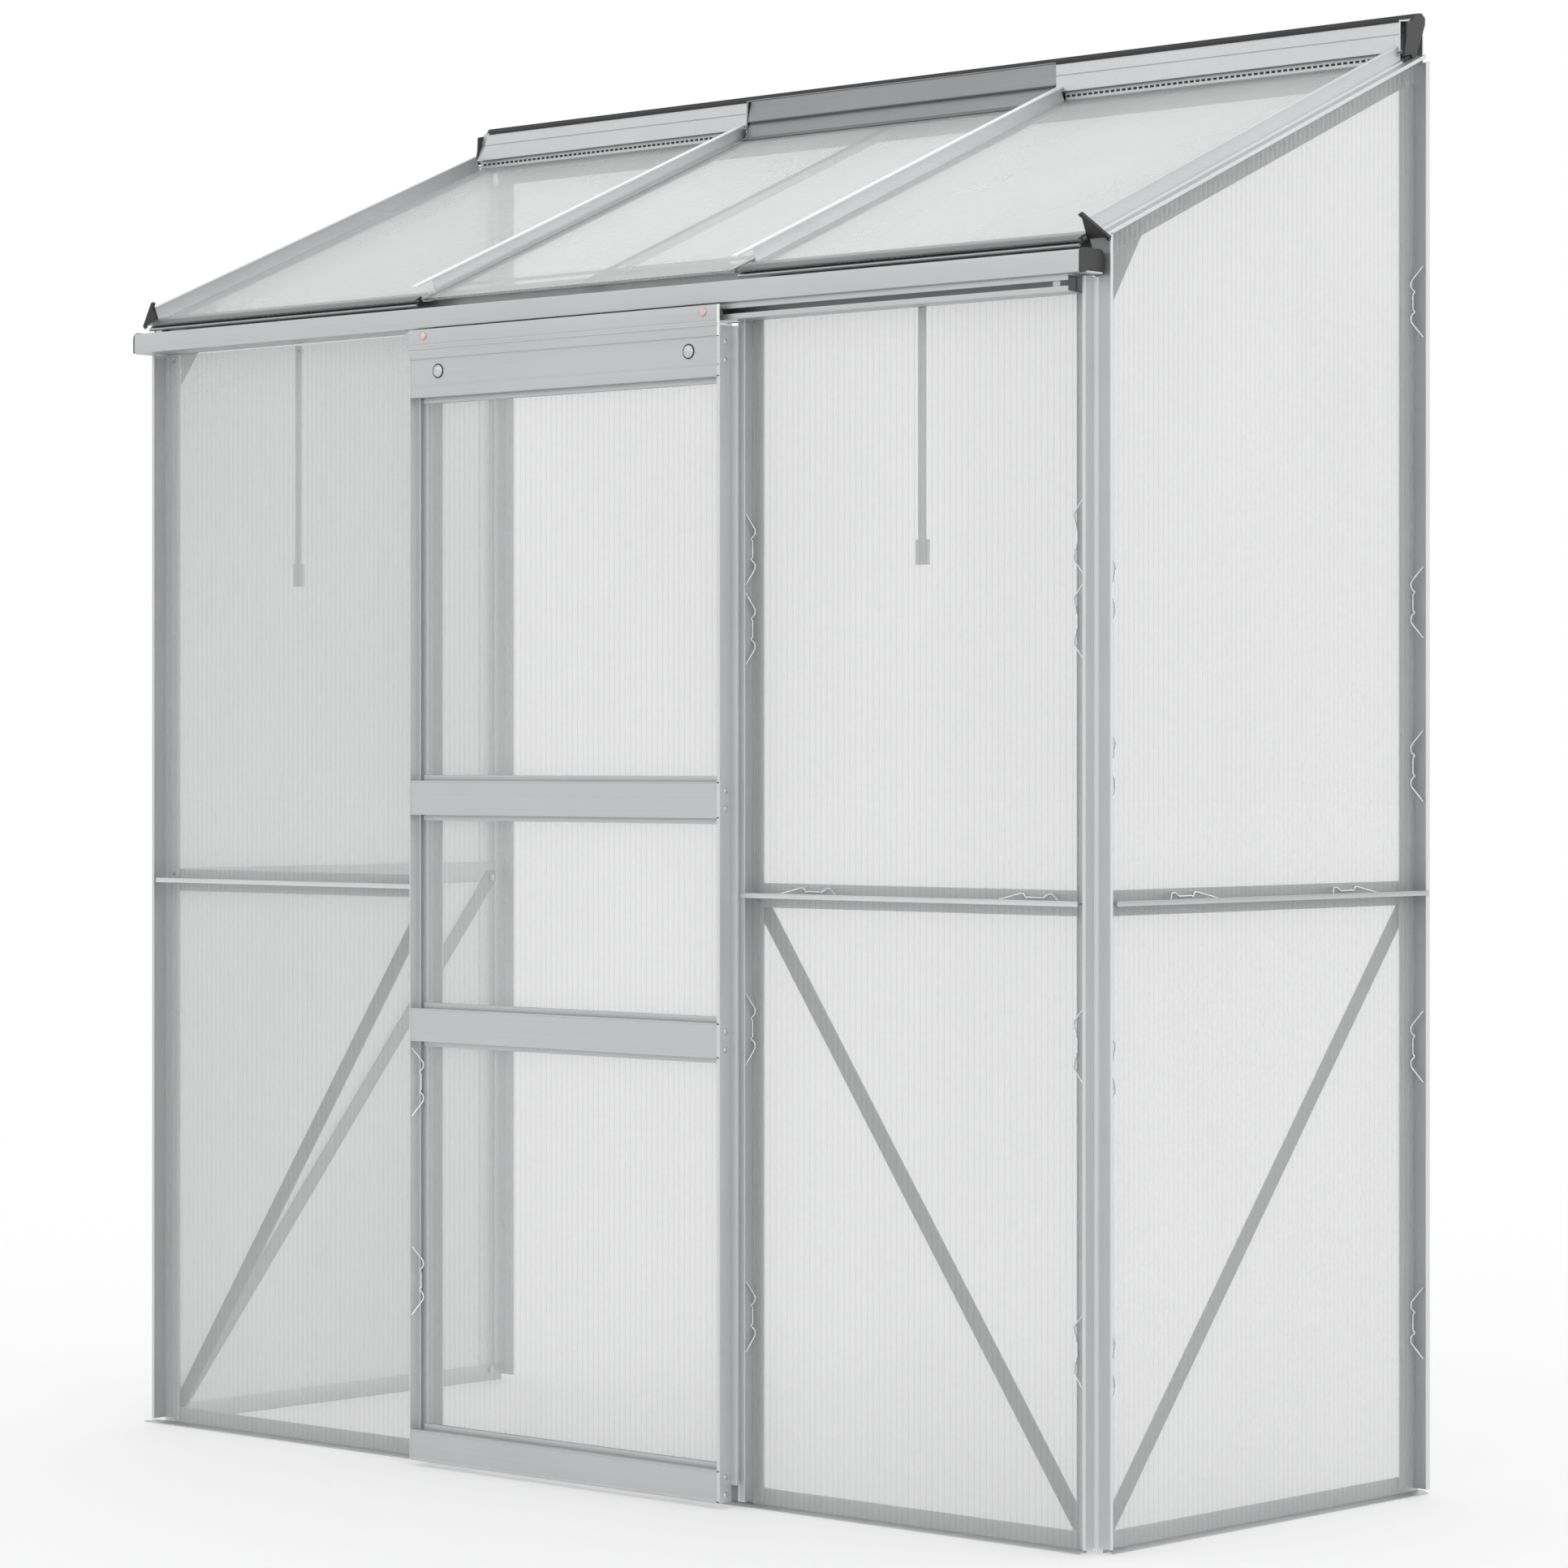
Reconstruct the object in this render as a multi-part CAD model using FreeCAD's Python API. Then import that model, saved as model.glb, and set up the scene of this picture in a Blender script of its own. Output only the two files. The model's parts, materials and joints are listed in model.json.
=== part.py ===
import FreeCAD, Part
import math
import os

# A lean-to greenhouse: an aluminium frame glazed with twin-wall sheet, with a sliding
# door in the middle bay of the front and a hinged vent above it in the roof.
# X runs along the front, Y runs from the front to the wall, Z is up. Sizes are in mm.
# While the pieces are made, y = 0 is the glazing plane of the front and z = 0 the ground.
# When they are written, they are moved along Y so that the plan is centred on the origin.

# Overall sizes
frame_length = 1854.0
door_bay = 642.0
wall_y = 724.0
eaves_z = 1713.2
overall_height = 2078.0
mid_rail_z = 844.0

# Sheet metal and glazing
metal = 2.0
sheet = 4.0
glazing_gap = 0.5

# Glazing bars: a flange behind the sheet, a web between sheets, a cap in front
bar_stand = 26.0
bar_cap = 12.5
bar_flange = 36.0
mid_rail_stand = 28.0
mid_rail_cap = 7.0
mid_rail_flange = 34.0
mid_cap_past_jamb = 4.0
mid_cap_end_gap = 9.0

# Corner and rear posts
corner_cap = 5.0
corner_flange = 33.0
post_foot = 9.0
rear_web_out = 19.0
rear_flange = 31.0
rear_cap = 9.0
wall_flange = 32.0
wall_hole_r = 3.5
wall_hole_inset = 15.0
wall_hole_low = 300.0
wall_hole_high = 1700.0

# Base rails
base_lip = 15.0
base_ledge = 7.0
base_ledge_z = 4.0
base_upstand_z = 27.0
base_corner_cut = 19.0
base_lip_metal = 1.6
base_toe_out = 33.0
base_toe_back = 15.0

# Gutter and eaves
gutter_front = 52.0
gutter_back = 4.0
gutter_drop = 54.2
gutter_deep = 30.0
gutter_lip = 6.0
gutter_overhang = 13.0
eaves_wall_deep = 23.0
eaves_seat_front = 6.0
eaves_seat_back = 24.0
end_cap_metal = 3.0
gutter_cap_rim = 2.0
gutter_cap_chamfer = 8.0

# Roof
roof_overhang = 32.0
sheet_top_gap = 3.0
rafter_front = 14.0
rafter_top_out = 36.0
bar_top_gap = 3.0
rafter_cap_thick = 5.0
rafter_cap_wide = 7.0
rafter_cap_over = 9.0
retainer_reach = 28.0
retainer_nose = 5.0
retainer_metal = 1.5
retainer_top = 3.0
retainer_brow = 4.0

# Ridge: each "out" is from the wall, each "rise" from the roof's plane right below
ridge_skirt = 39.6
ridge_wall_rise = 46.4
ridge_low_out = 49.0
ridge_low_rise = 17.5
ridge_top_out = 34.0
ridge_top_rise = 48.0
ridge_over = 5.0
bead_front = 9.0
bead_drop = 2.0
bead_r = 4.5
band_low = 31.0
band_high = 49.0
band_proud = 1.5
seal_front_out = 27.0
seal_front_drop = 12.0
seal_shoulder = 10.0
seal_shoulder_drop = 1.0
seal_crown_out = 9.0
seal_crown_rise = 57.3
seal_back_drop = 5.0
ridge_cap_thick = 4.0
ridge_cap_edge = 2.0
ridge_cap_back = 1.0
ridge_cap_heel_high = 8.0
ridge_cap_toe = 23.0
ridge_cap_toe_drop = 13.0
ridge_cap_notch = 14.0
ridge_cap_notch_drop = 3.0
ridge_cap_nose_drop = 7.0
ridge_cap_waist = 3.0
ridge_cap_waist_rise = 19.0
ridge_cap_brow = 5.0
ridge_cap_crest = 6.0

# Braces, gussets and hanging bars
brace_wide = 24.0
brace_end = 12.0
brace_top_drop = 9.0
gusset_low = 98.0
gusset_run = 100.0
hanging_wide = 13.0
hanging_long = 364.0
hanging_top_gap = 3.0
hanging_foot_wide = 22.0
hanging_foot_high = 34.0

# Door track
track_front = 44.0
track_back = 6.0
track_deep = 23.0
track_lower_lip = 6.6
track_upper_lip = 7.2
track_past_jamb = 14.0
track_right_gap = 12.0
track_stop_long = 12.0
track_stop_inset = 15.0

# Door
door_left_gap = 7.0
door_right_gap = 12.0
door_front = 56.0
door_deep = 24.5
door_low = 9.0
door_head_gap = 8.0
stile_lip = 6.0
stile_land = 15.0
stile_cover = 11.0
stile_cover_low = 23.0
pocket_back = 17.0
pocket_slack = 0.3
land_metal = 1.5
bottom_rail_high = 44.0
lower_rail_low = 620.0
lower_rail_high = 48.0
upper_rail_low = 950.0
upper_rail_high = 50.0
head_rail_high = 70.0
head_band_low = 16.0
head_band_high = 14.0
head_step = 0.8
rail_land = 8.0
hanger_top_gap = 2.0
hanger_ledge = 8.0
hanger_ledge_deep = 3.0
hanger_metal = 2.0
axle_r = 3.0
axle_inset = 31.0
axle_head_r = 6.5
axle_head_high = 4.0
axle_tail_r = 4.5
roller_r = 9.0
roller_wide = 12.0
roller_rim = 1.5
roller_run = 0.3
running_fit = 0.08
roller_front_gap = 4.0
washer = 1.0
dome_r = 9.5
dome_high = 4.5
dome_inset = 60.0
dome_drop = 33.0
stile_screw_r = 4.5
stile_screw_high = 2.0
stile_screw_long = 10.0
stile_screw_pitch = 25.0
guide_inset = 70.0
guide_long = 40.0
guide_pad = 4.0
guide_tongue = 22.0
guide_gap = 1.0
nylon_wide = 3.5
nylon_plug = 3.0

# Vent
vent_side_gap = 2.0
vent_frame_wide = 8.0
vent_lift = 0.3
vent_skin = 1.2
vent_top_gap = 12.8
vent_pocket = 12.0
vent_frame_gap = 2.0
vent_leg = 18.0
vent_cross_at = 36.0
vent_cross_wide = 16.0
vent_cross_lap = 5.0
vent_bar_wide = 18.0
vent_bar_deep = 13.0
hook_gap = 0.35
hook_metal = 1.6
hook_from = 74.0
hook_to = 286.0
hook_plate_at = 225.0
hook_box_at = 160.0
hinge_rail_over = 6.0
hinge_box_out = 14.0
hinge_box_lift = 1.0
hinge_box_lean = 6.0
hinge_box_high = 14.0
stay_drop = 9.0
stay_long = 230.0
stay_wide = 12.0
stay_thick = 3.0
stay_pin_r = 2.5
stay_pin_head_r = 4.5
stay_ear_wide = 16.0
stay_ear_thick = 6.0
stay_hole_r = 2.2
stay_holes = 5
catch_long = 16.0
catch_wide = 10.0
catch_high = 5.0

# Bolts and clips
bolt_r = 3.0
bolt_hole_slack = 0.25
nut_r = 5.5
nut_high = 4.5
bolt_tail = 1.5
bolt_from_node = 20.0
bolt_from_web = 10.0
bolt_base_z = 18.0
bolt_mid_rise = 9.0
bolt_eaves_drop = 11.0
clip_wire_r = 1.1
clip_half = 50.0
clip_knee = 29.0
clip_hook = 20.0
clip_middle = 12.0
clip_step = 4.0
clip_across = 7.0
rear_clip_across = 11.0
corner_clip_across = 32.0
clip_out = 17.0
wall_clip_heights = (242.0, 629.0, 1251.0, 1672.0)
front_clip_heights = (264.0, 660.0, 1211.0, 1321.0)

# Values worked out from the sizes above
half = frame_length / 2
jamb_x = door_bay / 2
seal_crown_y = wall_y - seal_crown_out
slope = (overall_height - seal_crown_rise - eaves_z) / seal_crown_y
roof_pitch = math.degrees(math.atan(slope))
cos_p = math.cos(math.atan(slope))
sin_p = math.sin(math.atan(slope))
rear_web_y = wall_y - rear_web_out
rafter_top_y = wall_y - rafter_top_out
gutter_low = eaves_z - gutter_drop
gutter_high = gutter_low + gutter_deep
eaves_wall_low = gutter_low - eaves_wall_deep
track_low = gutter_low - track_deep
track_left = -jamb_x - track_past_jamb
track_right = frame_length / 2 - track_right_gap
door_left = -jamb_x + door_left_gap
door_right = jamb_x - door_right_gap
door_high = track_low - door_head_gap
hanger_high = gutter_low - hanger_top_gap
dome_z = door_high - dome_drop
bolt_eaves_z = gutter_low - bolt_eaves_drop
hanging_high = gutter_low - hanging_top_gap
hanging_low = hanging_high - hanging_long
roof_at_wall = eaves_z + wall_y * slope
ridge_low = roof_at_wall - ridge_skirt
ridge_wall_top = roof_at_wall + ridge_wall_rise
ridge_face_low_y = wall_y - ridge_low_out
ridge_face_low_z = eaves_z + ridge_face_low_y * slope + ridge_low_rise
ridge_face_top_y = wall_y - ridge_top_out
ridge_face_top_z = eaves_z + ridge_face_top_y * slope + ridge_top_rise
bead_y = ridge_face_top_y - bead_front
bead_z = ridge_face_top_z - bead_drop
seal_front_y = wall_y - seal_front_out
vent_top = ridge_face_low_y / cos_p - vent_top_gap
inner = 2 * metal
third = 3 * metal
rail_x = half - inner
V = FreeCAD.Vector
written = {}


def block(x0, x1, y0, y1, z0, z1):
    """A box given by its two limits on each axis."""
    return Part.makeBox(x1 - x0, y1 - y0, z1 - z0, V(x0, y0, z0))


def joined(pieces):
    """One solid made of pieces that overlap or share faces."""
    if len(pieces) == 1:
        return pieces[0]
    return pieces[0].fuse(pieces[1:]).removeSplitter()


def mirrored(shape):
    """The same piece on the left side of the middle plane."""
    return shape.mirror(V(0, 0, 0), V(1, 0, 0))


def prism_x(points, x0, x1):
    """A plate or bar along X whose section is a list of (y, z) points."""
    corners = [V(x0, y, z) for y, z in points]
    face = Part.Face(Part.makePolygon(corners + corners[:1]))
    return face.extrude(V(x1 - x0, 0, 0))


def strip(start, end, thick, x0, x1):
    """A flat strip of metal along X, seen in section as a line from start to end."""
    dy = end[0] - start[0]
    dz = end[1] - start[1]
    size = math.hypot(dy, dz)
    ay = dy / size * thick / 2
    az = dz / size * thick / 2
    corners = [
        (start[0] - ay - az, start[1] - az + ay),
        (start[0] - ay + az, start[1] - az - ay),
        (end[0] + ay + az, end[1] + az - ay),
        (end[0] + ay - az, end[1] + az + ay),
    ]
    return prism_x(corners, x0, x1)


def folded(points, thick, x0, x1):
    """A strip of metal folded along a list of (y, z) points."""
    return joined([strip(a, b, thick, x0, x1) for a, b in zip(points, points[1:])])


def roof_point(s, n):
    """The (y, z) place of a point s up the slope and n above the glazing plane."""
    return (s * cos_p - n * sin_p, eaves_z + s * sin_p + n * cos_p)


def roof_z(y):
    """The height of the roof's glazing plane above the plan position y."""
    return eaves_z + y * slope


def along_slope(y):
    """The distance up the slope to the plan position y."""
    return y / cos_p


def on_roof(shape):
    """A piece made flat, with Y up the slope and Z as its normal, laid on the roof."""
    laid = shape.copy()
    laid.rotate(V(0, 0, 0), V(1, 0, 0), roof_pitch)
    laid.translate(V(0, 0, eaves_z))
    return laid


def above_roof_line(n, x0, x1):
    """A tall block over the line n from the roof's plane, to cut the tops of posts."""
    reach = along_slope(wall_y) + eaves_z
    return on_roof(block(x0, x1, -reach, reach, n, eaves_z))


def wire(points, radius):
    """A bent wire through a list of points, with round elbows."""
    pieces = []
    for a, b in zip(points, points[1:]):
        along = b.sub(a)
        pieces.append(Part.makeCylinder(radius, along.Length, a, along))
    for elbow in points[1:-1]:
        pieces.append(Part.makeSphere(radius, elbow))
    return joined(pieces)


def dome(radius, high):
    """A domed head whose flat side lies on z = 0 and whose crown is at z = -high."""
    ball_r = (radius * radius + high * high) / (2 * high)
    ball = Part.makeSphere(ball_r, V(0, 0, ball_r - high))
    return ball.common(Part.makeCylinder(radius, high, V(0, 0, -high)))


def turned_to(shape, at, along):
    """A piece made along +Z, placed at a point with its axis along a direction."""
    placed = shape.copy()
    placed.Placement = FreeCAD.Placement(at, FreeCAD.Rotation(V(0, 0, 1), along))
    return placed


def nut(radius, high, at_z):
    """A hexagonal nut with its near face at height at_z."""
    turns = [math.radians(60 * k) for k in range(7)]
    corners = [V(radius * math.cos(a), radius * math.sin(a), at_z) for a in turns]
    return Part.Face(Part.makePolygon(corners)).extrude(V(0, 0, high))


def frame_bolt(place):
    """A bolt flush with the outer plate, with its nut inside: (point, direction, grip)."""
    at, along, grip = place
    shank = Part.makeCylinder(bolt_r, grip + nut_high + bolt_tail)
    return turned_to(joined([shank, nut(nut_r, nut_high, grip)]), at, along)


def bolt_hole(place):
    """The drill that clears a frame bolt through all the plates it holds."""
    at, along, grip = place
    return turned_to(Part.makeCylinder(bolt_r + bolt_hole_slack, grip), at, along)


def wall_centres():
    """The four places where the rear posts are screwed to the wall."""
    out = half - wall_hole_inset
    return [V(x, wall_y, z) for x in (-out, out) for z in (wall_hole_low, wall_hole_high)]


def bolt_places():
    """Every frame bolt on the right half, as (point, direction, grip)."""
    back = V(0, 1, 0)
    inward = V(-1, 0, 0)
    down = V(0, sin_p, -cos_p)
    corner_x = half - bolt_from_node
    web_x = jamb_x + bolt_from_web
    rear_y = rear_web_y - bolt_from_web
    mid_high = mid_rail_z + bolt_mid_rise
    mid_low = mid_rail_z - brace_top_drop
    places = [
        (V(corner_x, 0, bolt_base_z), back, third),
        (V(web_x, 0, bolt_base_z), back, inner),
        (V(corner_x, 0, mid_high), back, inner),
        (V(web_x, 0, mid_low), back, third),
        (V(corner_x, 0, bolt_eaves_z), back, inner),
        (V(web_x, 0, bolt_eaves_z), back, inner),
        (V(hanging_x(), metal, bolt_eaves_z), back, inner),
        (V(half, bolt_from_node, bolt_base_z), inward, third),
        (V(half, rear_y, bolt_base_z), inward, inner),
        (V(half, bolt_from_node, mid_high), inward, inner),
        (V(half, rear_y, mid_low), inward, third),
        (V(half, bolt_from_node, gusset_bottom() + bolt_from_node), inward, inner),
        (V(half, gusset_run - bolt_from_node, gusset_bolt_z()), inward, inner),
    ]
    for x in (web_x, corner_x):
        for s in (eaves_seat_back / 2, vent_top + bolt_from_web):
            places.append((V(x, *roof_point(s, 0)), down, inner))
    return places


def hanging_x():
    """The hanging bars are in the middle of the side bays."""
    return (jamb_x + half) / 2


def gusset_bottom():
    """The lowest point of a corner gusset."""
    return eaves_z - gusset_low


def gusset_bolt_z():
    """The height of the gusset's bolt through the rafter's flange."""
    return roof_z(gusset_run - bolt_from_node) - bolt_from_node


def both_sides(places):
    """The same bolts on both halves."""
    left = []
    for at, along, grip in places:
        left.append((V(-at.x, at.y, at.z), V(-along.x, along.y, along.z), grip))
    return places + left


all_bolts = both_sides(bolt_places())
drills = [bolt_hole(place) for place in all_bolts]


def drilled(shape):
    """The piece with a hole wherever a frame bolt passes through it."""
    box = shape.BoundBox
    hits = [drill for drill in drills if drill.BoundBox.intersect(box)]
    return shape.cut(hits) if hits else shape


def keep(name, shape):
    """Hold a finished node until all are written."""
    written[name] = shape


def keep_pair(name, right):
    """Hold a node and its mirror image."""
    keep(name + "_right", right)
    keep(name + "_left", mirrored(right))


def base_profile(x0, x1, lip_x0, lip_x1):
    """A base rail along X: upstand, ledge and sloping lip, with tabs past the lip's limits."""
    upstand = block(lip_x0, lip_x1, metal, inner, 0, base_upstand_z)
    tabs = block(x0, x1, metal, inner, post_foot, base_upstand_z)
    ledge = block(lip_x0, lip_x1, -base_ledge, inner, base_ledge_z - metal, base_ledge_z)
    drop = base_lip_metal / 2
    lip = strip((-base_ledge, base_ledge_z - drop), (-base_lip + drop, drop),
                base_lip_metal, lip_x0, lip_x1)
    rail = joined([upstand, tabs, ledge, lip])
    ground = block(x0, x1, -base_lip * 2, inner * 2, -base_lip, 0)
    return rail.cut(ground)


def base_toe(start):
    """The front rail's lip runs on past the left corner post and ends in a point."""
    end = -half - base_toe_out
    lip = base_profile(start, start + metal, end, start + metal)
    kept = block(end, start, -base_lip, -glazing_gap, 0, base_ledge_z)
    corners = [V(end, -base_lip, 0), V(end, base_lip, 0), V(end + base_toe_out, base_lip, 0),
               V(end + base_toe_back, -base_ledge, 0)]
    point = Part.Face(Part.makePolygon(corners + corners[:1])).extrude(V(0, 0, base_lip))
    return lip.common(kept).cut(point)


def base_rails():
    """The front rail runs across the door bay; each gable rail ends at the wall."""
    lip_x = half - base_corner_cut
    rail = joined([base_profile(-rail_x, rail_x, -lip_x, lip_x), base_toe(-lip_x)])
    keep("base_rail_front", drilled(rail))
    rear_end = wall_y - metal
    side = base_profile(metal, rear_end, base_corner_cut, rear_end)
    side.rotate(V(0, 0, 0), V(0, 0, 1), 90)
    side.translate(V(half, 0, 0))
    keep_pair("base_rail", drilled(side))


def corner_posts():
    """Two webs at right angles stand out at the corner, with a flange behind each sheet."""
    web = metal / 2
    cap = corner_cap / 2
    tip = bar_stand
    top = gutter_low - metal
    roof_top = eaves_z + wall_y
    front_web = block(half - web, half + web, -tip, web, post_foot, top)
    front_cap = block(half - cap, half + cap, -tip, -tip + metal, post_foot, top)
    front_flange = block(half - corner_flange, half, 0, metal, post_foot, top)
    side_web = block(half - web, half + tip, -web, web, post_foot, roof_top)
    side_cap = block(half + tip - metal, half + tip, -cap, cap, post_foot, roof_top)
    side_flange = block(half - metal, half, 0, corner_flange, post_foot, roof_top)
    side = joined([side_web, side_cap]).cut(above_roof_line(-web, half - tip, half + 2 * tip))
    low_line = above_roof_line(-corner_flange, half - inner, half + web)
    flange = side_flange.cut(low_line)
    post = joined([front_web, front_cap, front_flange, flange, side])
    post = post.cut(block(half - inner, half + web, -web, metal, eaves_z - corner_flange, eaves_z))
    keep_pair("corner_post", drilled(post))


def rear_posts():
    """A web and cap hold the gable sheet's rear edge, and a flange lies on the wall."""
    web_y = rear_web_y
    top = eaves_z + wall_y
    cap_y = web_y + metal / 2
    flange = block(half - metal, half, web_y - rear_flange, web_y + metal, post_foot, top)
    flange = flange.cut(above_roof_line(-corner_flange, half - inner, half + metal))
    web = block(half - metal, half + bar_stand, web_y, web_y + metal, post_foot, top)
    cap = block(half + bar_stand - metal, half + bar_stand, cap_y - rear_cap / 2,
                cap_y + rear_cap / 2, post_foot, top)
    blade = joined([web, cap]).cut(above_roof_line(-rear_cap, 0, half * 2))
    blade = blade.cut(block(half - inner, half, 0, wall_y, ridge_low, top * 2))
    back = block(half - metal, half, web_y, wall_y, post_foot, ridge_low)
    wall = block(half - wall_flange, half, wall_y - metal, wall_y, post_foot, ridge_low)
    post = joined([flange, blade, back, wall])
    for centre in wall_centres():
        start = V(centre.x, wall_y - 2 * metal, centre.z)
        post = post.cut(Part.makeCylinder(wall_hole_r, 3 * metal, start, V(0, 1, 0)))
    keep_pair("rear_post", drilled(post))


def jamb_bars():
    """The T-bars beside the door end under the track; their flanges reach the gutter."""
    web = metal / 2
    x = jamb_x
    top = gutter_low - metal
    flange = block(x - bar_flange / 2, x + bar_flange / 2, 0, metal, post_foot, top)
    stem = block(x - web, x + web, -bar_stand, metal, post_foot, track_low)
    cap = block(x - bar_cap / 2, x + bar_cap / 2, -bar_stand, -bar_stand + metal,
                post_foot, track_low)
    keep_pair("jamb_bar", drilled(joined([flange, stem, cap])))


def mid_rails():
    """Horizontal bars whose web parts the lower sheet from the upper one."""
    z = mid_rail_z
    web = metal / 2
    flange_z = mid_rail_flange / 2
    cap_z = mid_rail_cap / 2
    stand = mid_rail_stand
    start = jamb_x + web
    plate = block(start, rail_x, metal, inner, z - flange_z, z + flange_z)
    stem = block(start, half - web, -stand, 0, z - web, z + web)
    root = block(jamb_x + bar_flange / 2, half - corner_flange, -web, metal, z - web, z + web)
    stem = stem.cut(block(start - 1, jamb_x + bar_cap / 2, -bar_stand, -bar_stand + metal, 0, 2 * z))
    stem = stem.cut(block(half - corner_cap / 2, half, -bar_stand, metal - bar_stand, 0, 2 * z))
    past = block(half - mid_cap_end_gap, half, -stand, -bar_stand, 0, 2 * z)
    cap = block(jamb_x - mid_cap_past_jamb, half - mid_cap_end_gap, -stand, -stand + metal,
                z - cap_z, z + cap_z)
    keep_pair("mid_rail_front", drilled(joined([plate, root, stem.cut(past), cap])))
    rear = rear_web_y
    plate = block(half - inner, half - metal, inner, rear + metal, z - flange_z, z + flange_z)
    stem = block(half, half + stand, web, rear, z - web, z + web)
    root = block(half - metal, half + web, corner_flange, rear - rear_flange, z - web, z + web)
    tips = [
        block(half + bar_stand - metal, half + bar_stand, -bar_cap, corner_cap / 2, 0, 2 * z),
        block(half + bar_stand - metal, half + bar_stand, rear - rear_cap, rear, 0, 2 * z),
        block(half + bar_stand, half + stand, -bar_cap, mid_cap_end_gap, 0, 2 * z),
    ]
    stem = stem.cut(tips)
    cap = block(half + stand - metal, half + stand, mid_cap_end_gap, rear + metal / 2,
                z - cap_z, z + cap_z)
    keep_pair("mid_rail_gable", drilled(joined([plate, root, stem, cap])))


def flat_brace(low, high):
    """A flat bar with rounded ends between two (u, z) points, in the plane y = 0 to metal."""
    du = high[0] - low[0]
    dz = high[1] - low[1]
    size = math.hypot(du, dz)
    bar = block(0, size, 0, metal, -brace_wide / 2, brace_wide / 2)
    ends = []
    for at in (0, size):
        ends.append(Part.makeCylinder(brace_end, metal, V(at, 0, 0), V(0, 1, 0)))
    bar = joined([bar] + ends)
    bar.rotate(V(0, 0, 0), V(0, 1, 0), -math.degrees(math.atan2(dz, du)))
    bar.translate(V(low[0], 0, low[1]))
    return bar


def braces():
    """Diagonal flats inside: each runs from a corner's foot up to the far mid-rail joint."""
    top_z = mid_rail_z - brace_top_drop
    front = flat_brace((half - bolt_from_node, bolt_base_z), (jamb_x + bolt_from_web, top_z))
    front.translate(V(0, inner, 0))
    keep_pair("brace_front", drilled(front))
    gable = flat_brace((bolt_from_node, bolt_base_z), (rear_web_y - bolt_from_web, top_z))
    gable.rotate(V(0, 0, 0), V(0, 0, 1), 90)
    gable.translate(V(half - inner, 0, 0))
    keep_pair("brace_gable", drilled(gable))


def corner_gussets():
    """A folded-flat plate inside each front top corner, bolted to post and rafter."""
    low = gusset_bottom()
    near = inner
    drop = inner
    points = [
        (near, low),
        (corner_flange - inner, low),
        (gusset_run, roof_z(gusset_run) - corner_flange),
        (gusset_run, roof_z(gusset_run) - drop),
        (near, roof_z(near) - drop),
    ]
    right = drilled(prism_x(points, half - inner, half - metal))
    keep("corner_gussets", Part.makeCompound([right, mirrored(right)]))


def gable_rafters():
    """The corner section turned along the roof: one web along the roof's normal, one outward."""
    web = metal / 2
    cap = corner_cap / 2
    top = along_slope(rafter_top_y)
    low = -rafter_front
    under_ridge = along_slope(ridge_face_low_y) - bar_top_gap
    normal_web = block(half - web, half + web, low, under_ridge, -web, bar_stand)
    normal_cap = block(half - cap, half + cap, low, under_ridge, bar_stand - metal, bar_stand)
    side_web = block(half - web, half + bar_stand, low, top, -web, web)
    side_cap = block(half + bar_stand - metal, half + bar_stand, low, top, -cap, cap)
    roof_flange = block(half - corner_flange, half, 0, top, -metal, 0)
    gable_flange = block(half - metal, half, inner, top, -corner_flange, 0)
    webs = [normal_web, normal_cap, side_web, side_cap]
    rafter = on_roof(joined(webs + [roof_flange, gable_flange]))
    keep_pair("gable_rafter", drilled(rafter.cut(written["corner_post_right"])))


def roof_bars():
    """T-bars beside the vent, from over the gutter to the ridge."""
    web = metal / 2
    x = jamb_x
    low = -roof_overhang
    top = along_slope(ridge_face_low_y) - bar_top_gap
    stem = block(x - web, x + web, low, top, -web, bar_stand)
    cap = block(x - bar_cap / 2, x + bar_cap / 2, low, top, bar_stand - metal, bar_stand)
    flange = block(x - bar_flange / 2, x + bar_flange / 2, -eaves_seat_front,
                   along_slope(rear_web_y), -metal, 0)
    stem_low = stem.cut(block(x - web, x + web, low - 1, -eaves_seat_front, -web - 1, 0))
    keep_pair("roof_bar", drilled(on_roof(joined([flange, stem_low, cap]))))


def gutter():
    """An open channel along the eaves, with a wall behind the front bars and a roof seat.

    Between the bars the wall is cut away, so that only the sheets close the side bays.
    """
    mid = metal / 2
    long = half + gutter_overhang
    front = -gutter_front + mid
    back = -gutter_back - mid
    low = gutter_low + mid
    high = gutter_high - mid
    points = [(front + gutter_lip - metal, high), (front, high), (front, low), (back, low), (back, high)]
    channel = folded(points, metal, -long, long)
    wall = metal + mid
    seat_n = -metal - mid
    wall_top = roof_z(metal) - 1.25 * metal / cos_p - mid
    floor = strip((back, low), (wall, low), metal, -rail_x, rail_x)
    upstand = strip((wall, eaves_wall_low + mid), (wall, wall_top), metal, -rail_x, rail_x)
    seat = strip(roof_point(-eaves_seat_front + mid, seat_n), roof_point(eaves_seat_back - mid, seat_n),
                 metal, -rail_x, rail_x)
    bar = hanging_wide / 2
    spans = [(jamb_x + bar_flange / 2, hanging_x() - bar), (hanging_x() + bar, half - corner_flange)]
    for x0, x1 in spans:
        notch = block(x0, x1, mid, inner + mid, eaves_wall_low - mid, gutter_low)
        upstand = upstand.cut([notch, mirrored(notch)])
    keep("gutter", drilled(joined([channel, floor, upstand, seat])))


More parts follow.
